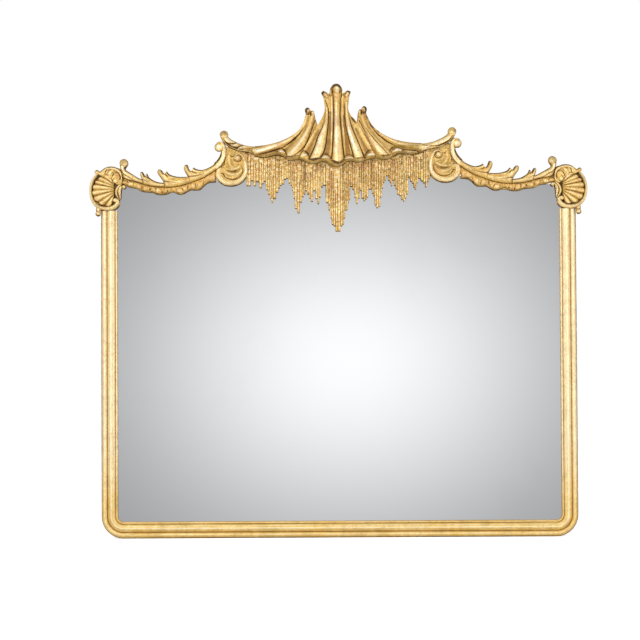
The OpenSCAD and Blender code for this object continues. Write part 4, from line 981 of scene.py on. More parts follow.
# Canopy. Between two valleys with painted shade lies either a round rib or a flute that ends in a
# turned-up cup with a painted highlight; painted shade also lies at the rib feet, the tips and the top ball.
# The bell runs from lip to neck by the power "curve"; "edge" takes it down at the lip, "bend" is where the
# centre turns level, and "outer" is a wing's share of that height at its far end. Each part is drawn by
# its lip, its tip and the lines up its west and east sides.
canopy = dict(
    lip=58, neck=16, curve=1.7, edge=5, outer=0.55, bend=0.85, reach=7, wall=0.12,
    centre=dict(
        lip=[[-116, 1130.5], [-108, 1128.5], [-98, 1123.5], [-89, 1118], [-79, 1116.5], [-68, 1117.5],
             [-57, 1120.5], [-48, 1123], [-38, 1122], [-28, 1115.5], [-18, 1110.5], [-5, 1109], [8, 1111.5],
             [18, 1116.5], [27, 1122.5], [37, 1123.5], [48, 1121.5], [58, 1120.5], [68, 1121.5], [79, 1125.5],
             [90, 1129.5], [101, 1131.5], [112, 1132.5]],
        tip=[[-50, 1329], [-44, 1335], [-34, 1331], [-26, 1327], [-23, 1341], [-15, 1353], [-4, 1357],
             [6, 1352.5], [13, 1341], [16.5, 1328], [28, 1336], [39, 1333]],
        west=[[-116, 1130.5], [-88, 1183], [-60, 1231], [-46, 1257], [-39.5, 1280], [-41, 1303], [-44, 1317],
              [-50, 1329]],
        east=[[112, 1132.5], [86, 1184], [55, 1240], [40, 1258], [31, 1280], [32.5, 1302], [34.5, 1318],
              [39, 1333]],
        strokes=[
            rib([-1, 1118, 18, 9], [-1.5, 1150, 17, 10], [-1, 1190, 14, 9], [-3, 1240, 10, 8],
                [-3, 1290, 9, 7], [-4, 1325, 10, 6]),
            rib([-70, 1128, 17, 9], [-57, 1162, 16, 10], [-46, 1202, 12, 9], [-35, 1245, 6, 6],
                [-33, 1285, 4.5, 5]),
            rib([63, 1131, 16, 9], [54, 1162, 14, 10], [44, 1190, 12, 9], [33, 1225, 9, 7], [27, 1260, 6, 6],
                [25, 1300, 5, 5]),
            rib([-20, 1150, 3, 2], [-20, 1200, 3.4, 3], [-18, 1270, 3.4, 3], [-19, 1318, 3.4, 3]),
            rib([20, 1150, 3, 2], [18, 1200, 3.4, 3], [13, 1260, 3.4, 3], [15, 1318, 3.4, 3]),
            soft([-34, 1150, 13, -5], [-25, 1205, 8, -4], [-23, 1270, 6, -3]),
            soft([-92, 1150, 15, -6], [-76, 1185, 10, -4], [-60, 1215, 7, -3]),
            soft([30, 1148, 11, -5], [23, 1200, 7, -4], [18, 1260, 5, -3]),
            soft([90, 1150, 14, -6], [72, 1185, 10, -4], [55, 1220, 7, -3]),
            groove([-14, 1322, 1.4, -3], [-12, 1270, 2, -6], [-12.5, 1240, 2, -6], [-15.5, 1180, 2.2, -6],
                   [-17.5, 1150, 2.4, -6], [-20, 1128, 2.4, -5]),
            groove([9, 1322, 1.4, -3], [6.5, 1270, 2, -6], [7.5, 1240, 2, -6], [12.5, 1180, 2.2, -6],
                   [16.5, 1150, 2.4, -6], [19, 1130, 2.4, -5]),
            groove([-38, 1308, 1.6, -4], [-29, 1280, 1.8, -6], [-28.5, 1250, 1.8, -6], [-33, 1200, 2.2, -6],
                   [-40, 1160, 2.4, -6], [-53, 1132, 2.4, -6]),
            groove([-40, 1243, 1.5, -4], [-48, 1222, 2, -6], [-60, 1198, 2.2, -6], [-66, 1180, 2.4, -6],
                   [-73, 1160, 2.6, -7], [-87, 1131, 2.6, -7]),
            groove([22, 1304, 1.4, -3], [20.5, 1270, 1.8, -5], [22, 1240, 1.8, -5], [28, 1210, 2, -6],
                   [35, 1180, 2.2, -6], [41, 1158, 2.2, -6], [47, 1136, 2.2, -5]),
            groove([35, 1252, 1.4, -4], [40, 1230, 1.8, -5], [48, 1210, 2, -6], [58, 1185, 2.2, -6],
                   [68, 1160, 2.4, -6], [77, 1138, 3, -8]),
            over([-104, 1141, 9, 57], [-97, 1143, 8, 58]),
            over([-47, 1134, 7, 58], [-38, 1136, 8, 59], [-30, 1134, 6, 58]),
            over([22, 1131, 6, 58], [33, 1133, 8, 59], [44, 1133, 5, 57]),
            over([90, 1141, 8, 57], [99, 1144, 9, 58], [108, 1143, 7, 56]),
            gloss([-108, 1143, 9, 0.9], [-97, 1145, 7, 0.9]),
            gloss([-48, 1134, 6, 0.9], [-38, 1137, 7, 1.1], [-30, 1134, 5, 0.9]),
            gloss([22, 1131, 5, 0.9], [33, 1134, 7, 1], [44, 1133, 4, 0.8]),
            gloss([90, 1141, 7, 0.8], [100, 1146, 8, 1], [110, 1144, 6, 0.7]),
            groove([-113, 1153, 1.4, -4], [-100, 1155, 2, -6], [-90, 1147, 2, -6], [-86, 1136, 1.5, -4]),
            groove([-54, 1137, 1.6, -5], [-46, 1144, 1.8, -5], [-35, 1145, 1.8, -5], [-25, 1138, 1.6, -5],
                   [-21, 1130, 1.5, -4]),
            groove([17, 1134, 1.5, -4], [24, 1141, 1.8, -5], [34, 1143, 1.8, -5], [44, 1140, 1.5, -4]),
            groove([80, 1139, 1.6, -5], [85, 1149, 2, -6], [93, 1156, 2, -6], [103, 1157, 1.8, -5],
                   [111, 1151, 1.5, -4]),
            stain([-20, 1126, 5, 0.9], [-10, 1121, 6, 1.1], [-1, 1119.5, 6, 1], [9, 1122, 6, 1.1],
                  [19, 1128, 5, 0.9]),
            stain([-88, 1131, 4, 1], [-79, 1128, 5.5, 1.2], [-68, 1129, 6, 1.2], [-56, 1132, 4.5, 1.1]),
            stain([48, 1132, 3.5, 0.8], [60, 1131, 4, 0.8], [70, 1132, 4.5, 0.9], [80, 1135, 5, 1.1]),
            gloss([-7.5, 1155, 5, 0.8], [-6, 1200, 4.5, 1.2], [-7, 1250, 4, 1.2], [-6, 1300, 4, 0.6]),
            gloss([-68, 1148, 6, 0.6], [-58, 1178, 6, 1], [-50, 1208, 5, 0.9], [-40, 1235, 3, 0.5]),
            gloss([52, 1150, 6, 0.5], [43, 1180, 5, 1.1], [34, 1212, 4.5, 1.1], [28, 1235, 3, 0.6]),
            gloss([-19, 1190, 2.6, 0.5], [-18.5, 1250, 2.6, 0.8], [-18.5, 1310, 2.6, 0.6]),
            over([-4, 1334, 11, 24], [-4, 1343, 12.5, 27], [-4, 1350, 9, 22]),
            over([-24, 1326, 5, 19], [-22, 1336, 4, 21]), over([14, 1326, 4, 19], [14, 1337, 4, 21]),
            over([-33, 1318, 6, 20], [-42, 1329, 6, 23], [-47, 1330, 4.5, 20]),
            over([26, 1320, 6, 20], [32, 1331, 6, 23], [35, 1332, 4.5, 20]),
            groove([-20, 1318, 1.5, -4], [-16, 1328, 2, -6], [-17, 1338, 1.4, -4]),
            groove([11, 1318, 2, -6], [10.5, 1328, 2, -5], [11, 1338, 1.4, -4]),
            groove([-40, 1323, 1, -2], [-33, 1330, 1.6, -4], [-26, 1326, 1.8, -5], [-22, 1318, 1.4, -3]),
            stain([-19, 1344, 7, 1], [-12, 1351, 8.5, 1.3], [-4, 1353, 9, 1.4], [4, 1350, 8.5, 1.2],
                  [10, 1343, 6, 0.9]),
            stain([-50, 1326, 8, 1.4], [-45, 1331, 8, 1.4], [-39, 1331, 5, 1]),
            stain([25, 1336, 5, 0.8], [31, 1335, 7, 1.1], [37, 1331, 7, 1.2]),
            gloss([0, 1341, 6, 0.9], [-1, 1330, 5, 0.6]),
            stain([41, 1254, 3.5, 1], [47, 1246, 4, 1.3], [53, 1238, 3.5, 1])],
    ),
    left=dict(
        lip=[[-250, 1167], [-249.8, 1152], [-249.5, 1139], [-232, 1135.5], [-215, 1136.5], [-200, 1139.5],
             [-188, 1142.5], [-176, 1142.5], [-166, 1138.5], [-158, 1132.5], [-148, 1127.5], [-138, 1127.5],
             [-128, 1128.5], [-116.3, 1130.2]],
        tip=[[-99, 1275], [-97.5, 1282], [-91.5, 1286], [-85, 1283], [-82, 1276], [-76.5, 1276.5],
             [-71.5, 1272], [-67, 1252], [-60.3, 1231]],
        west=[[-250, 1169], [-215, 1171.5], [-180, 1180], [-148, 1194], [-122, 1211], [-106, 1233],
              [-98.5, 1255], [-96.5, 1266], [-99, 1275]],
        east=[[-116.3, 1130.2], [-88.3, 1183], [-60.3, 1231]],
        strokes=[
            rib([-142, 1137, 18, 9], [-124, 1160, 18, 11], [-103, 1188, 14, 9], [-88, 1218, 10, 8],
                [-78, 1255, 8, 6]),
            rib([-247, 1157, 12, 0], [-230, 1160, 12, 4], [-205, 1166, 11, 6], [-170, 1178, 9, 7],
                [-135, 1198, 8, 7], [-108, 1228, 8, 6], [-95, 1262, 7, 5]),
            soft([-240, 1147, 7, 0], [-225, 1148, 8, -4], [-190, 1157, 9, -5], [-158, 1160, 9, -5],
                 [-128, 1192, 6, -3]),
            groove([-104, 1224, 1.6, -4], [-115, 1208, 2, -6], [-125, 1197, 2.6, -8], [-140, 1184, 2.4, -7],
                   [-160, 1169, 2.4, -6], [-176, 1162.5, 2.2, -6], [-200, 1155, 2, -5],
                   [-236, 1146, 1.6, -4]),
            groove([-76, 1225, 1.4, -4], [-87, 1196, 2.2, -6], [-98, 1171, 2.4, -6], [-119, 1150, 2.4, -6],
                   [-138, 1139, 2, -5]),
            groove([-68, 1247, 2, -6], [-76, 1228, 1.6, -4], [-90, 1204, 1.2, -3]),
            groove([-172, 1164, 1.8, -5], [-161, 1159, 2, -6], [-153, 1143, 2, -6]),
            groove([-148, 1150, 1, -2], [-130, 1168, 1.3, -3], [-116, 1187, 1, -2]),
            over([-176, 1153, 6, 50], [-166, 1153, 6.5, 52], [-159, 1148, 4, 52]),
            gloss([-174, 1154, 6, 0.9], [-165, 1153, 6, 1]),
            gloss([-147, 1144, 5, 0.6], [-122, 1170, 5.5, 1.3], [-103, 1196, 5, 1.2], [-90, 1220, 4, 0.6]),
            gloss([-250, 1153, 5, 0.6], [-215, 1162, 5, 0.8], [-180, 1174, 4, 0.7], [-150, 1189, 3.5, 0.6]),
            stain([-156, 1139, 4, 0.9], [-146, 1137, 4, 0.9], [-134, 1138, 4, 0.8], [-120, 1141, 3, 0.7]),
            over([-91.5, 1276, 9, 27], [-91, 1276.5, 9, 27]), over([-74, 1256, 5, 18], [-75, 1270, 6, 22]),
            groove([-81.5, 1279, 1.2, -3], [-81, 1268, 2, -6], [-83, 1252, 1.4, -3]),
            groove([-98, 1265, 2, -5], [-91, 1264.5, 2, -6], [-84, 1266, 1.4, -4]),
            stain([-97, 1271, 6, 0.9], [-95, 1279, 7, 1.2], [-88, 1284, 6, 1])],
    ),
    right=dict(
        lip=[[-250, 1174], [-249.8, 1161], [-249.5, 1149], [-234, 1143.5], [-218, 1142.5], [-203, 1143.5],
             [-190, 1145.5], [-178, 1144.5], [-167, 1138.5], [-156, 1131.5], [-146, 1128.5], [-136, 1128.5],
             [-125, 1129.5], [-112.3, 1132.2]],
        tip=[[-87, 1277], [-85.5, 1285], [-79, 1289.5], [-72.5, 1286], [-69.5, 1279], [-64.5, 1279.5],
             [-60, 1270], [-58, 1253], [-55.3, 1240]],
        west=[[-250, 1176], [-215, 1177], [-180, 1183.5], [-146, 1196], [-118, 1214], [-100, 1233],
              [-89, 1255], [-84.5, 1268], [-87, 1277]],
        east=[[-112.3, 1132.2], [-86.3, 1184], [-55.3, 1240]],
        strokes=[
            rib([-146, 1139, 17, 9], [-126, 1160, 17, 11], [-104, 1188, 13, 9], [-84, 1222, 9, 8],
                [-72, 1258, 8, 6]),
            rib([-248, 1164, 9, 0], [-230, 1167, 9, 4], [-200, 1171, 8, 5], [-165, 1184, 7, 6],
                [-132, 1203, 7, 6], [-104, 1233, 7, 6], [-86, 1266, 6, 5]),
            soft([-246, 1158, 8, 0], [-225, 1161, 9, -5], [-198, 1163, 9, -5], [-165, 1163, 9, -5]),
            groove([-96, 1232, 1.4, -3], [-118, 1205, 2, -5], [-130, 1195, 2.2, -6], [-145, 1183, 2.4, -7],
                   [-170, 1170, 2.4, -6], [-197, 1157, 2, -5]),
            groove([-80, 1228, 1.4, -3], [-105, 1192, 2.2, -6], [-130, 1165, 2.4, -6], [-149, 1144, 2.4, -6]),
            groove([-64, 1245, 1.8, -5], [-74, 1224, 1.4, -4], [-86, 1204, 1.2, -3]),
            groove([-154, 1153, 1.8, -5], [-160, 1163, 2, -6], [-173, 1165, 2, -6], [-196, 1153, 1.6, -4]),
            groove([-199, 1157, 1.6, -5], [-218, 1156, 2, -6], [-233, 1154, 2, -6], [-242, 1149, 1.5, -4]),
            over([-162, 1150, 6, 52], [-175, 1156, 7, 51], [-190, 1154, 5, 49]),
            over([-206, 1150, 4, 46], [-218, 1150.5, 4.2, 42], [-234, 1150, 3, 33]),
            gloss([-163, 1151, 5, 0.9], [-176, 1157, 6, 1.1], [-190, 1154, 4, 0.8]),
            gloss([-206, 1150, 4, 0.8], [-234, 1150, 4, 0.8]),
            gloss([-128, 1148, 5, 0.7], [-108, 1172, 5, 1.1], [-91, 1194, 4.5, 1.1], [-74, 1222, 4, 0.9],
                  [-67, 1242, 3, 0.5]),
            stain([-156, 1141, 4, 0.9], [-146, 1139, 4.5, 1.1], [-134, 1139, 4, 1], [-120, 1141, 3, 0.6]),
            stain([-160, 1170, 7, 0.4], [-200, 1166, 9, 0.55], [-240, 1166, 9, 0.6]),
            over([-79, 1279.5, 9, 27], [-78.5, 1280, 9, 27]),
            over([-64, 1260, 5, 18], [-64.5, 1273, 5.5, 22]),
            groove([-69.5, 1282, 1.2, -3], [-70, 1270, 2, -6], [-72, 1255, 1.4, -3]),
            groove([-86, 1268.5, 2, -5], [-79, 1268, 2, -6], [-72, 1270, 1.4, -4]),
            stain([-75, 1287, 5, 0.9], [-82, 1285, 7, 1.2], [-85, 1275, 6, 0.9], [-85, 1262, 4.5, 1],
                  [-93, 1245, 3.5, 1.1], [-102, 1230, 3.5, 1], [-122, 1210, 3, 1])],
    ),
)


# Rungs run straight from the west to the east edge and bow out to the lip below and the tip above;
# both bows fade towards the middle
def patch(south, north, west, east):
    s, n = np.asarray(south, float), np.asarray(north, float)

    def place(u, v):
        a, b = smoothCurve(west, v), smoothCurve(east, v)
        u, v = u[..., None], v[..., None]
        p = a + (b - a) * u
        p = p + (1 - v) ** 2 * (smoothCurve(s, u[..., 0]) - s[0] - (s[-1] - s[0]) * u)
        p = p + v ** 4 * (smoothCurve(n, u[..., 0]) - n[0] - (n[-1] - n[0]) * u)
        return p[..., 0], p[..., 1]
    return place


# Bell from the far lip up to the neck, with a hollow ground between round ribs
def bell(v):
    return canopy["neck"] + (canopy["lip"] - canopy["neck"]) * (1 - v) ** canopy["curve"]


# Round section in which a wing meets its twisted end, from the lower to the upper edge
def rollAt(q):
    return 8 + 19 * np.sin(np.pi * (0.1 + 0.8 * np.clip(q, 0, 1)))


# Height of the canopy's centre: the bell over its lower part, level above, and a little lower at the lip
def centreDepth(u, v, x, z):
    return bell(np.minimum(v / canopy["bend"], 1)) - canopy["edge"] * (1 - 0.5 * v)


# Height of a wing: the bell, which thins out to the west and turns into the twisted end's section over
# its last 45 mm; foot is where that section begins
def wingDepth(foot):
    def depth(u, v, x, z):
        h = (bell(v) - canopy["edge"] * (1 - 0.5 * v)) * (canopy["outer"] + 0.45 * np.minimum(2 * u, 1))
        joint = rollAt((z - foot) / 27)
        return joint + (h - joint) * smoothStep(x, -250, -205)
    return depth


# Strokes along a lip: a thin raised rim close to it with a painted highlight, and a line of painted shade above
def lipStrokes(lip):
    return [kind(*([x, z + up, width, amount] for x, z in lip)) for kind, up, width, amount in (
        (rib, 3.4, 2.4, 1.6), (gloss, 3.6, 2.2, 1), (stain, 7.2, 2.2, 0.5))]


# Streaks that run up the ribs: two sines across, each bent a little along
def grained(u, v):
    a, b = 2 * np.pi * (37 * u + 0.4 * np.sin(5 * v)), 2 * np.pi * (17 * u + 0.6 * np.sin(3 * v + 1))
    return 0.22 * np.sin(a) + 0.22 * np.sin(b) - 0.06


# Front of the centre or a wing; the lip's strokes begin past the wing's joint with the twisted end
def carveCanopy(word, depth, counts, rolls, dark, first=0, **more):
    part = canopy[word]
    return carve(patch(part["lip"], part["tip"], part["west"], part["east"]), depth, counts,
                 part["strokes"] + lipStrokes(part["lip"][first:]), rolls, dark, crowd=(0.2, 0.3),
                 reach=canopy["reach"], tone=grained, seen=True, **more)


makePiece("canopyCentre", [
    carveCanopy("centre", centreDepth, (300, 210), (0.8, 0.8, 1.6, 4), (0.5, 0.5, 0.3, 0.6))],
    "canopy_centre", wall=canopy["wall"])
for side, word in sides:
    makePiece("canopyWing_" + word, [
        carveCanopy(word, wingDepth(canopy[word]["lip"][2][1]), (230, 140), (0, 0.8, 1.6, 4),
                    (0, 0.5, 0.3, 0.8), 3, side=side, lift=0)], "canopy_wing_" + word, wall=canopy["wall"])

# Dark strokes on the twisted end are painted shade on the ball's top and left and along the roll's upper edge;
# pale strokes are painted highlights
twist = dict(
    low=[[-248.6, 1138], [-256, 1145.5], [-266, 1149.5], [-280, 1152], [-297, 1155], [-315, 1161],
         [-330, 1170], [-342, 1181], [-349, 1191], [-352, 1199], [-350, 1207], [-344, 1212]],
    high=[[-248.6, 1169], [-256, 1169.5], [-267, 1170.5], [-280, 1173.5], [-294, 1178], [-307, 1184],
          [-318, 1190], [-325, 1195.5], [-330, 1200], [-331, 1205], [-333, 1209.5], [-339, 1212]],
    lift=6.8, bead=(-340.8, 1204, 12.6, 12, 27),
    beadStrokes=[
        stain([-350, 1190, 4, 1], [-355, 1200, 4.5, 1.1], [-352, 1213, 5, 1.1], [-343, 1221, 5, 1.1],
              [-332, 1218, 4, 0.8]),
        stain([-349, 1209, 13, 0.5], [-341, 1211, 13, 0.45], [-333, 1209, 12, 0.4]),
        groove([-343, 1207, 1.6, -3], [-338, 1207.5, 2.4, -6], [-333, 1206, 1.4, -3])],
    rim=[
        over([-349.5, 1198, 2.4, 20], [-346.5, 1188, 2.8, 21], [-338.5, 1177, 2.8, 22], [-325, 1167, 2.8, 23],
             [-308, 1159.5, 2.8, 25], [-290, 1155.2, 2.8, 27], [-272, 1153.8, 2.8, 28], [-261, 1151, 2.6, 28],
             [-254, 1144.5, 2.4, 26]),
        gloss([-346.5, 1188, 2.8, 0.8], [-325, 1167, 2.8, 0.9], [-290, 1155.2, 2.8, 0.8],
              [-261, 1151, 2.6, 0.4]),
        groove([-342, 1192, 1.5, -4], [-335, 1180.5, 2, -6], [-324, 1172, 2.4, -8], [-309, 1164.5, 2.6, -8],
               [-299, 1161, 2, -6], [-287, 1159.5, 1.8, -5], [-270, 1160.5, 2, -6], [-252, 1163, 2.2, -7])],
    left=[
        groove([-335, 1181, 2.4, -6], [-325, 1176, 3.2, -9], [-312, 1176.5, 3.2, -8], [-301, 1180, 2.2, -5]),
        groove([-312, 1167, 2, -6], [-302, 1164.5, 3.2, -10], [-292, 1168.5, 2.8, -8], [-284, 1173, 2, -5]),
        rib([-317, 1168, 2, 3], [-303, 1174, 2.8, 5], [-294, 1178.5, 2, 3]),
        rib([-298, 1159.5, 2, 3], [-286, 1164, 2.6, 5], [-275, 1168.5, 2.4, 5], [-258, 1168.5, 2, 3]),
        gloss([-316, 1168, 2.4, 0.8], [-302, 1174.5, 3, 1.1], [-294, 1179, 2.4, 0.8]),
        gloss([-297, 1159.5, 2.4, 0.8], [-285, 1164, 3, 1], [-275, 1168.5, 2.6, 0.8]),
        gloss([-333, 1190, 6, 0.8], [-322, 1186.5, 6, 1], [-312, 1182, 4, 0.6]),
        stain([-292, 1180, 4, 0.9], [-275, 1175, 4, 0.9], [-252, 1171, 3.6, 1.1]),
        stain([-275, 1154, 5, 0.5], [-258, 1156, 6, 0.6])],
    right=[
        rib([-252, 1148, 2.4, 4], [-263, 1156, 3, 5], [-276, 1161.5, 2.4, 4]),
        gloss([-252, 1148, 3, 0.8], [-263, 1156, 3.4, 1.1], [-276, 1161.5, 3, 0.7]),
        stain([-320, 1189, 5, 0.6], [-290, 1177, 5, 0.6], [-252, 1170, 4, 0.8]),
        gloss([-330, 1186, 5, 0.6], [-312, 1175, 5, 0.8], [-290, 1167, 4, 0.6])],
)


# Twisted end of the canopy: a roll that narrows and rises to its ball
def twistDepth(u, v, x, z):
    s = 1 - u
    return 8 + (rollAt(v) - 8) * (1 - 0.5 * smoothStep(s, 0.2, 0.85)) + 5 * (1 - v) * np.sin(np.pi * s)


# The same roll as a strip, walked from the ball to the wing
def twistPlace(u, v):
    return strip(twist["low"], twist["high"])(1 - u, v)


for side, word in sides:
    placed = dict(side=side, lift=twist["lift"])
    makePiece("canopyEnd_" + word, [
        carve(twistPlace, twistDepth, (200, 50), twist["rim"] + twist[word], (2, 0, 1.6, 3),
              (0.6, 0, 0.9, 0.7), crowd=(0.3, 0.4), **placed),
        bead(*twist["bead"], twist["beadStrokes"], **placed)], "canopy_end_" + word)
print("canopy carved")


# Icicles: lower ends along the curtain, rounding of a stick's end, height of the ground, gap under the lip,
# pitch and limits, then the layers of bars over them, each as 1 where it is shifted by half a stick, its
# seed, mean share of the length and greatest height
icicles = dict(
    ends=[[-274, 1052], [-266, 1052], [-257.5, 1067], [-250, 1052], [-242.5, 1064], [-231, 1046],
          [-226, 1058], [-220, 1065], [-214, 1040], [-208, 1026], [-203, 1014], [-199, 1002], [-191, 1013],
          [-182, 1032], [-177.5, 1044], [-173, 1053], [-165, 1057], [-159, 1071], [-153, 1074], [-146, 1059],
          [-141, 1053], [-136, 1038], [-133.5, 1013], [-127, 983], [-120, 970], [-111, 1002], [-106, 1018],
          [-101, 1026], [-96, 1036], [-90, 1026], [-85.5, 1014], [-80, 1004], [-71.5, 1036], [-66, 1012],
          [-60, 997], [-55, 1016], [-49, 1047], [-42, 1052], [-33, 1000], [-27, 978], [-22, 954], [-18, 934],
          [-12, 930], [-6, 914], [2, 914], [10.5, 930], [15, 935], [18, 953], [22.5, 977], [27, 979],
          [30, 1000], [33, 1009], [39, 1048], [46, 1039], [50, 1015], [56, 997], [62, 1013], [66, 1036],
          [73.5, 1012], [78, 1005], [83, 1010], [87, 1016], [93, 1040], [99, 1040], [103, 1027], [107, 1020],
          [111, 992], [117, 984], [124, 988], [127.5, 1016], [132, 1042], [137, 1060], [140, 1066],
          [147, 1080], [152, 1066], [156, 1060], [160, 1050], [165, 1066], [170, 1051], [174, 1041],
          [180, 1024], [185, 1020], [191, 1008], [197, 1003], [201, 1012], [206, 1025], [213, 1074],
          [219, 1063], [224, 1057], [228, 1045], [232, 1039], [236, 1059], [243, 1072], [251, 1064],
          [258, 1058], [264, 1046], [268, 1061], [274, 1070]],
    round=2.2, ground=2.2, gap=1.5, pitch=7.6, rows=81, ragged=0.34, thin=1.6, thick=10.8, foot=1.5,
    layers=[(0, 3, 0.60, 5.0), (0, 23, 0.30, 6.8), (1, 11, 0.16, 7.4)],
)


# Ragged sequence between -1 and 1 from two sines
def scatter(k):
    return np.sin(k * 137.5) * np.cos(k * 71.3)


# Line behind the canopy's lip and ends where the sticks begin
curtainTop = ([[-276, 1158], [-256, 1154], [-249.9, 1142]]
              + [p for p in canopy["left"]["lip"] if p[0] > -249.6] + canopy["centre"]["lip"]
              + [[-p[0], p[1]] for p in canopy["right"]["lip"][:1:-1]]
              + [[250, 1152], [256, 1162], [276, 1168]])


# Round section of a stick, and the painted shade along its two edges, by distance c from its middle
def barAt(c):
    return np.clip(1 - np.abs(c) ** 1.7, 0, 1)[:, None] ** 0.6


def barEdge(c):
    return np.clip(np.abs(c) - 0.5, 0, 1)[:, None]


# Tone of each stick: scattered between ochre and olive
def barTone(k):
    return 0.45 * scatter(k)[:, None] - 0.05


# Left and right edges and lower end of every stick that falls between x0 and x1
def stickColumns(x0, x1):
    ends = np.array(icicles["ends"], float)
    seams = np.concatenate([[ends[0, 0] - 4], (ends[1:, 0] + ends[:-1, 0]) / 2, [ends[-1, 0] + 4]])
    columns = []
    for k in range(len(ends)):
        parts = max(1, round((seams[k + 1] - seams[k]) / icicles["pitch"]))
        cuts = np.linspace(seams[k], seams[k + 1], parts + 1)
        for j in range(parts):
            columns.append([cuts[j], cuts[j + 1], ends[k, 1] + (1.5 * scatter(k + 7 * j) if parts > 1 else 0)])
    columns = np.array([c for c in columns if c[1] > x0 + 0.5 and c[0] < x1 - 0.5])
    columns[0, 0], columns[-1, 1] = x0, x1
    return columns


# Curtain of sticks from x0 to x1. Every stick is a round bar that ends at its own height. Shorter bars,
# some of them shifted by half a stick, lie over them and break off at ragged heights. Three sines along
# each bar thicken and thin it, and two bend it a little; every lower end is rounded off.
def curtain(x0, x1):
    columns = stickColumns(x0, x1)
    f = np.array([0.0, 0.06, 0.2, 0.38, 0.5, 0.62, 0.8, 0.94])
    x = (columns[:, :1] + (columns[:, 1:2] - columns[:, :1]) * f).ravel()
    c = np.tile(2 * f - 1, len(columns))
    number = np.repeat(np.arange(len(columns)), len(f))
    x, c, number = np.append(x, x1), np.append(c, 1.0), np.append(number, len(columns) - 1)
    low = columns[number, 2] + icicles["round"] * (1 - np.sqrt(np.clip(1 - (c * 0.9) ** 2, 0, 1)))
    high = np.interp(x, *np.transpose(curtainTop)) - icicles["gap"]
    length = high - low
    z = low[:, None] + length[:, None] * np.linspace(0, 1, icicles["rows"])
    h = icicles["ground"] + (3.0 + 0.9 * scatter(number)[:, None]) * barAt(c) + 0 * z
    edge, tone = barEdge(c) + 0 * z, barTone(number * 1.7) + 0 * z
    middles = (columns[:, 0] + columns[:, 1]) / 2
    for shifted, seed, share, most in icicles["layers"]:
        k = number + shifted * (c > 0)
        edges = np.concatenate([[x0 - 3], middles, [x1 + 3]]) if shifted else np.append(columns[:, 0], x1)
        cc = np.clip(2 * (x - edges[k]) / np.maximum(edges[k + 1] - edges[k], 0.5) - 1, -1, 1)
        stop = (high - length * np.clip(share + icicles["ragged"] * scatter(k + seed), 0.05, 0.92))[:, None]
        bar = icicles["ground"] + (most + 1.3 * scatter(k * 3 + seed))[:, None] * barAt(cc)
        on = smoothStep(z, stop - 0.8, stop + 1.2) * (scatter(k * 5 + seed) > -0.35)[:, None]
        lying = on * (bar > h)
        edge = edge * (1 - lying) + lying * barEdge(cc)
        # Painted shade just below where a lying bar stops
        edge = np.maximum(edge, 0.5 * np.exp(-((z - stop + 1.5) / 1.4) ** 2) * (bar > h) * (on < 0.5))
        h = np.maximum(h, h + (np.maximum(bar, h) - h) * on)
        tone = tone * (1 - lying) + lying * barTone(k * 2.3 + seed)
    phase = (number * 2.4)[:, None] + 6 * scatter(number + 5)[:, None]
    drip = (0.6 * np.sin(z * 0.31 + phase) + 0.5 * np.sin(z * 0.53 - 1.7 * phase)
            + 0.4 * np.sin(z * 0.87 + 2.9 * phase))
    h = np.clip(h * (1 + 0.13 * drip), icicles["thin"], icicles["thick"])
    end = np.clip((z - low[:, None]) / 2.5, 0, 1)
    h = icicles["foot"] + (h - icicles["foot"]) * np.sqrt(1 - (1 - end) ** 2)
    inside = smoothStep(np.minimum(x - x0, x1 - x), 0, 8)[:, None]
    x = x[:, None]
    x = x + (0.4 * np.sin(0.11 * z + 0.35 * x) + 0.2 * np.sin(0.31 * z - 0.21 * x)) * inside
    # Painted shade along the sticks' edges, in their low places and where they thin; painted highlight on their
    # high parts; painted shadow under the lip
    hollow = 0.85 * edge + 0.2 * np.clip((3.4 - h) / 1.6, 0, 1) + 0.15 * np.clip(-drip - 0.3, 0, 1)
    return dict(x=x, z=z, h=h, hollow=hollow, tone=tone,
                crest=1.6 * np.clip((h - 3) / 3, 0, 1) * np.clip(0.6 + 0.6 * drip, 0, 1),
                shade=smoothStep(z, high[:, None] - 6, high[:, None]) * 0.3)


for word, x0, x1 in (("left", -275, -100), ("centre", -99.7, 100), ("right", 100.3, 275)):
    makePiece("icicles_" + word + "Carved", [curtain(x0, x1)], "icicles_" + word, smooth=35)
print("icicles carved")


# Room, light and camera
room = dict(floor=14.0, key=88.0, fill=52.0, world=colour(0.66, 0.66, 0.66))
shot = dict(distance=6.0, x=-0.0568, height=0.472, aimX=-0.0568, aimZ=0.650, lens=112.4, roll=0.3)


def makeFloor():
    line = np.linspace(-room["floor"] / 2, room["floor"] / 2, 15)
    u, v = np.meshgrid(line, line, indexing="ij")
    quads = gridFaces(u.shape)[1]
    mesh = bpy.data.meshes.new("floor")
    mesh.from_pydata(np.stack([u.ravel(), v.ravel(), 0 * u.ravel()], -1).tolist(), [], quads.tolist())
    floor = addObject("floor", mesh)
    f = Finish("paleFloor", Roughness=0.9)
    speck = f.noise(40.0, 2.0)
    f.feed("Base Color", speck.mix(colour(0.94, 0.94, 0.94), colour(0.96, 0.96, 0.96)))
    f.shader.inputs["Emission Color"].default_value = colour(1, 1, 1)
    f.feed("Emission Strength", f.start.node("LightPath", out="Is Camera Ray") * 0.45)
    mesh.materials.append(f.material)
    floor.visible_glossy = False


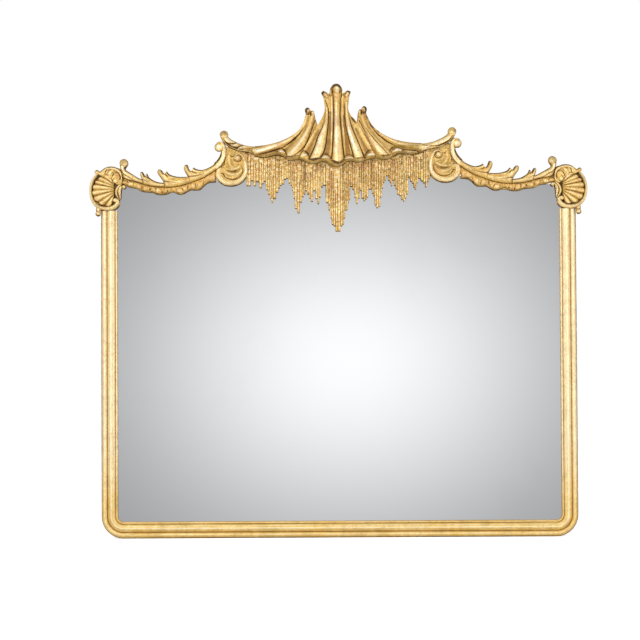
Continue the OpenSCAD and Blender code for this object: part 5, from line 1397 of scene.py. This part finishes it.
# White to the camera and even light elsewhere, except that glossy rays see a room: pale behind the camera
# with a soft round glow in it, and darker above
def makeWorld():
    world = bpy.data.worlds.new("studio")
    bpy.context.scene.world = world
    world.use_nodes = True
    tree = world.node_tree
    start = Wire(tree)
    camera, glossy = (start.node("LightPath", out=ray) for ray in ("Is Camera Ray", "Is Glossy Ray"))
    x, y, z = start.node("TexCoord", out="Generated").split()
    dx, dz = x - 0.014, z - 0.010
    off = start.maths("SQRT", dx * dx * 0.8 + dz * dz * 1.25)
    glow = 1 - off.step(0.0, 0.155)
    glow = glow * (glow * 0.15 + 0.85)
    seen = glow.mix(colour(0.37, 0.375, 0.38), colour(1.05, 1.05, 1.05))
    around = y.step(-0.98, -0.75).mix(seen, colour(0.62, 0.62, 0.62))
    around = z.step(0.15, 0.75).mix(around, colour(0.42, 0.42, 0.42))
    shown = camera.mix(glossy.mix(room["world"], around), colour(1, 1, 1))
    tree.links.new(shown.socket, tree.nodes["Background"].inputs["Color"])


def makeLamp(name, place, aim, size, power):
    lamp = bpy.data.lights.new(name, "AREA")
    lamp.shape, lamp.size, lamp.energy = "DISK", size, power
    holder = addObject(name, lamp)
    holder.location = place
    holder.rotation_euler = (Vector(aim) - Vector(place)).to_track_quat("-Z", "Y").to_euler()


def makeCamera():
    data = bpy.data.cameras.new("camera")
    data.lens, data.sensor_width = shot["lens"], 36
    camera = addObject("camera", data)
    place = Vector((shot["x"], -shot["distance"], shot["height"]))
    aim = Vector((shot["aimX"], 0, shot["aimZ"]))
    turn = (aim - place).to_track_quat("-Z", "Y").to_matrix().to_4x4()
    roll = Matrix.Rotation(math.radians(-shot["roll"]), 4, "Z")
    camera.matrix_world = Matrix.Translation(place) @ turn @ roll
    bpy.context.scene.camera = camera


makeFloor()
makeWorld()
makeLamp("keyLamp", (-1.9, -3.8, 2.3), (0, 0, 0.7), 2.0, room["key"])
makeLamp("fillLamp", (2.8, -3.4, 1.2), (0, 0, 0.7), 2.6, room["fill"])
makeCamera()
bpy.context.scene.view_settings.view_transform = "Standard"
print("room, light and camera set")
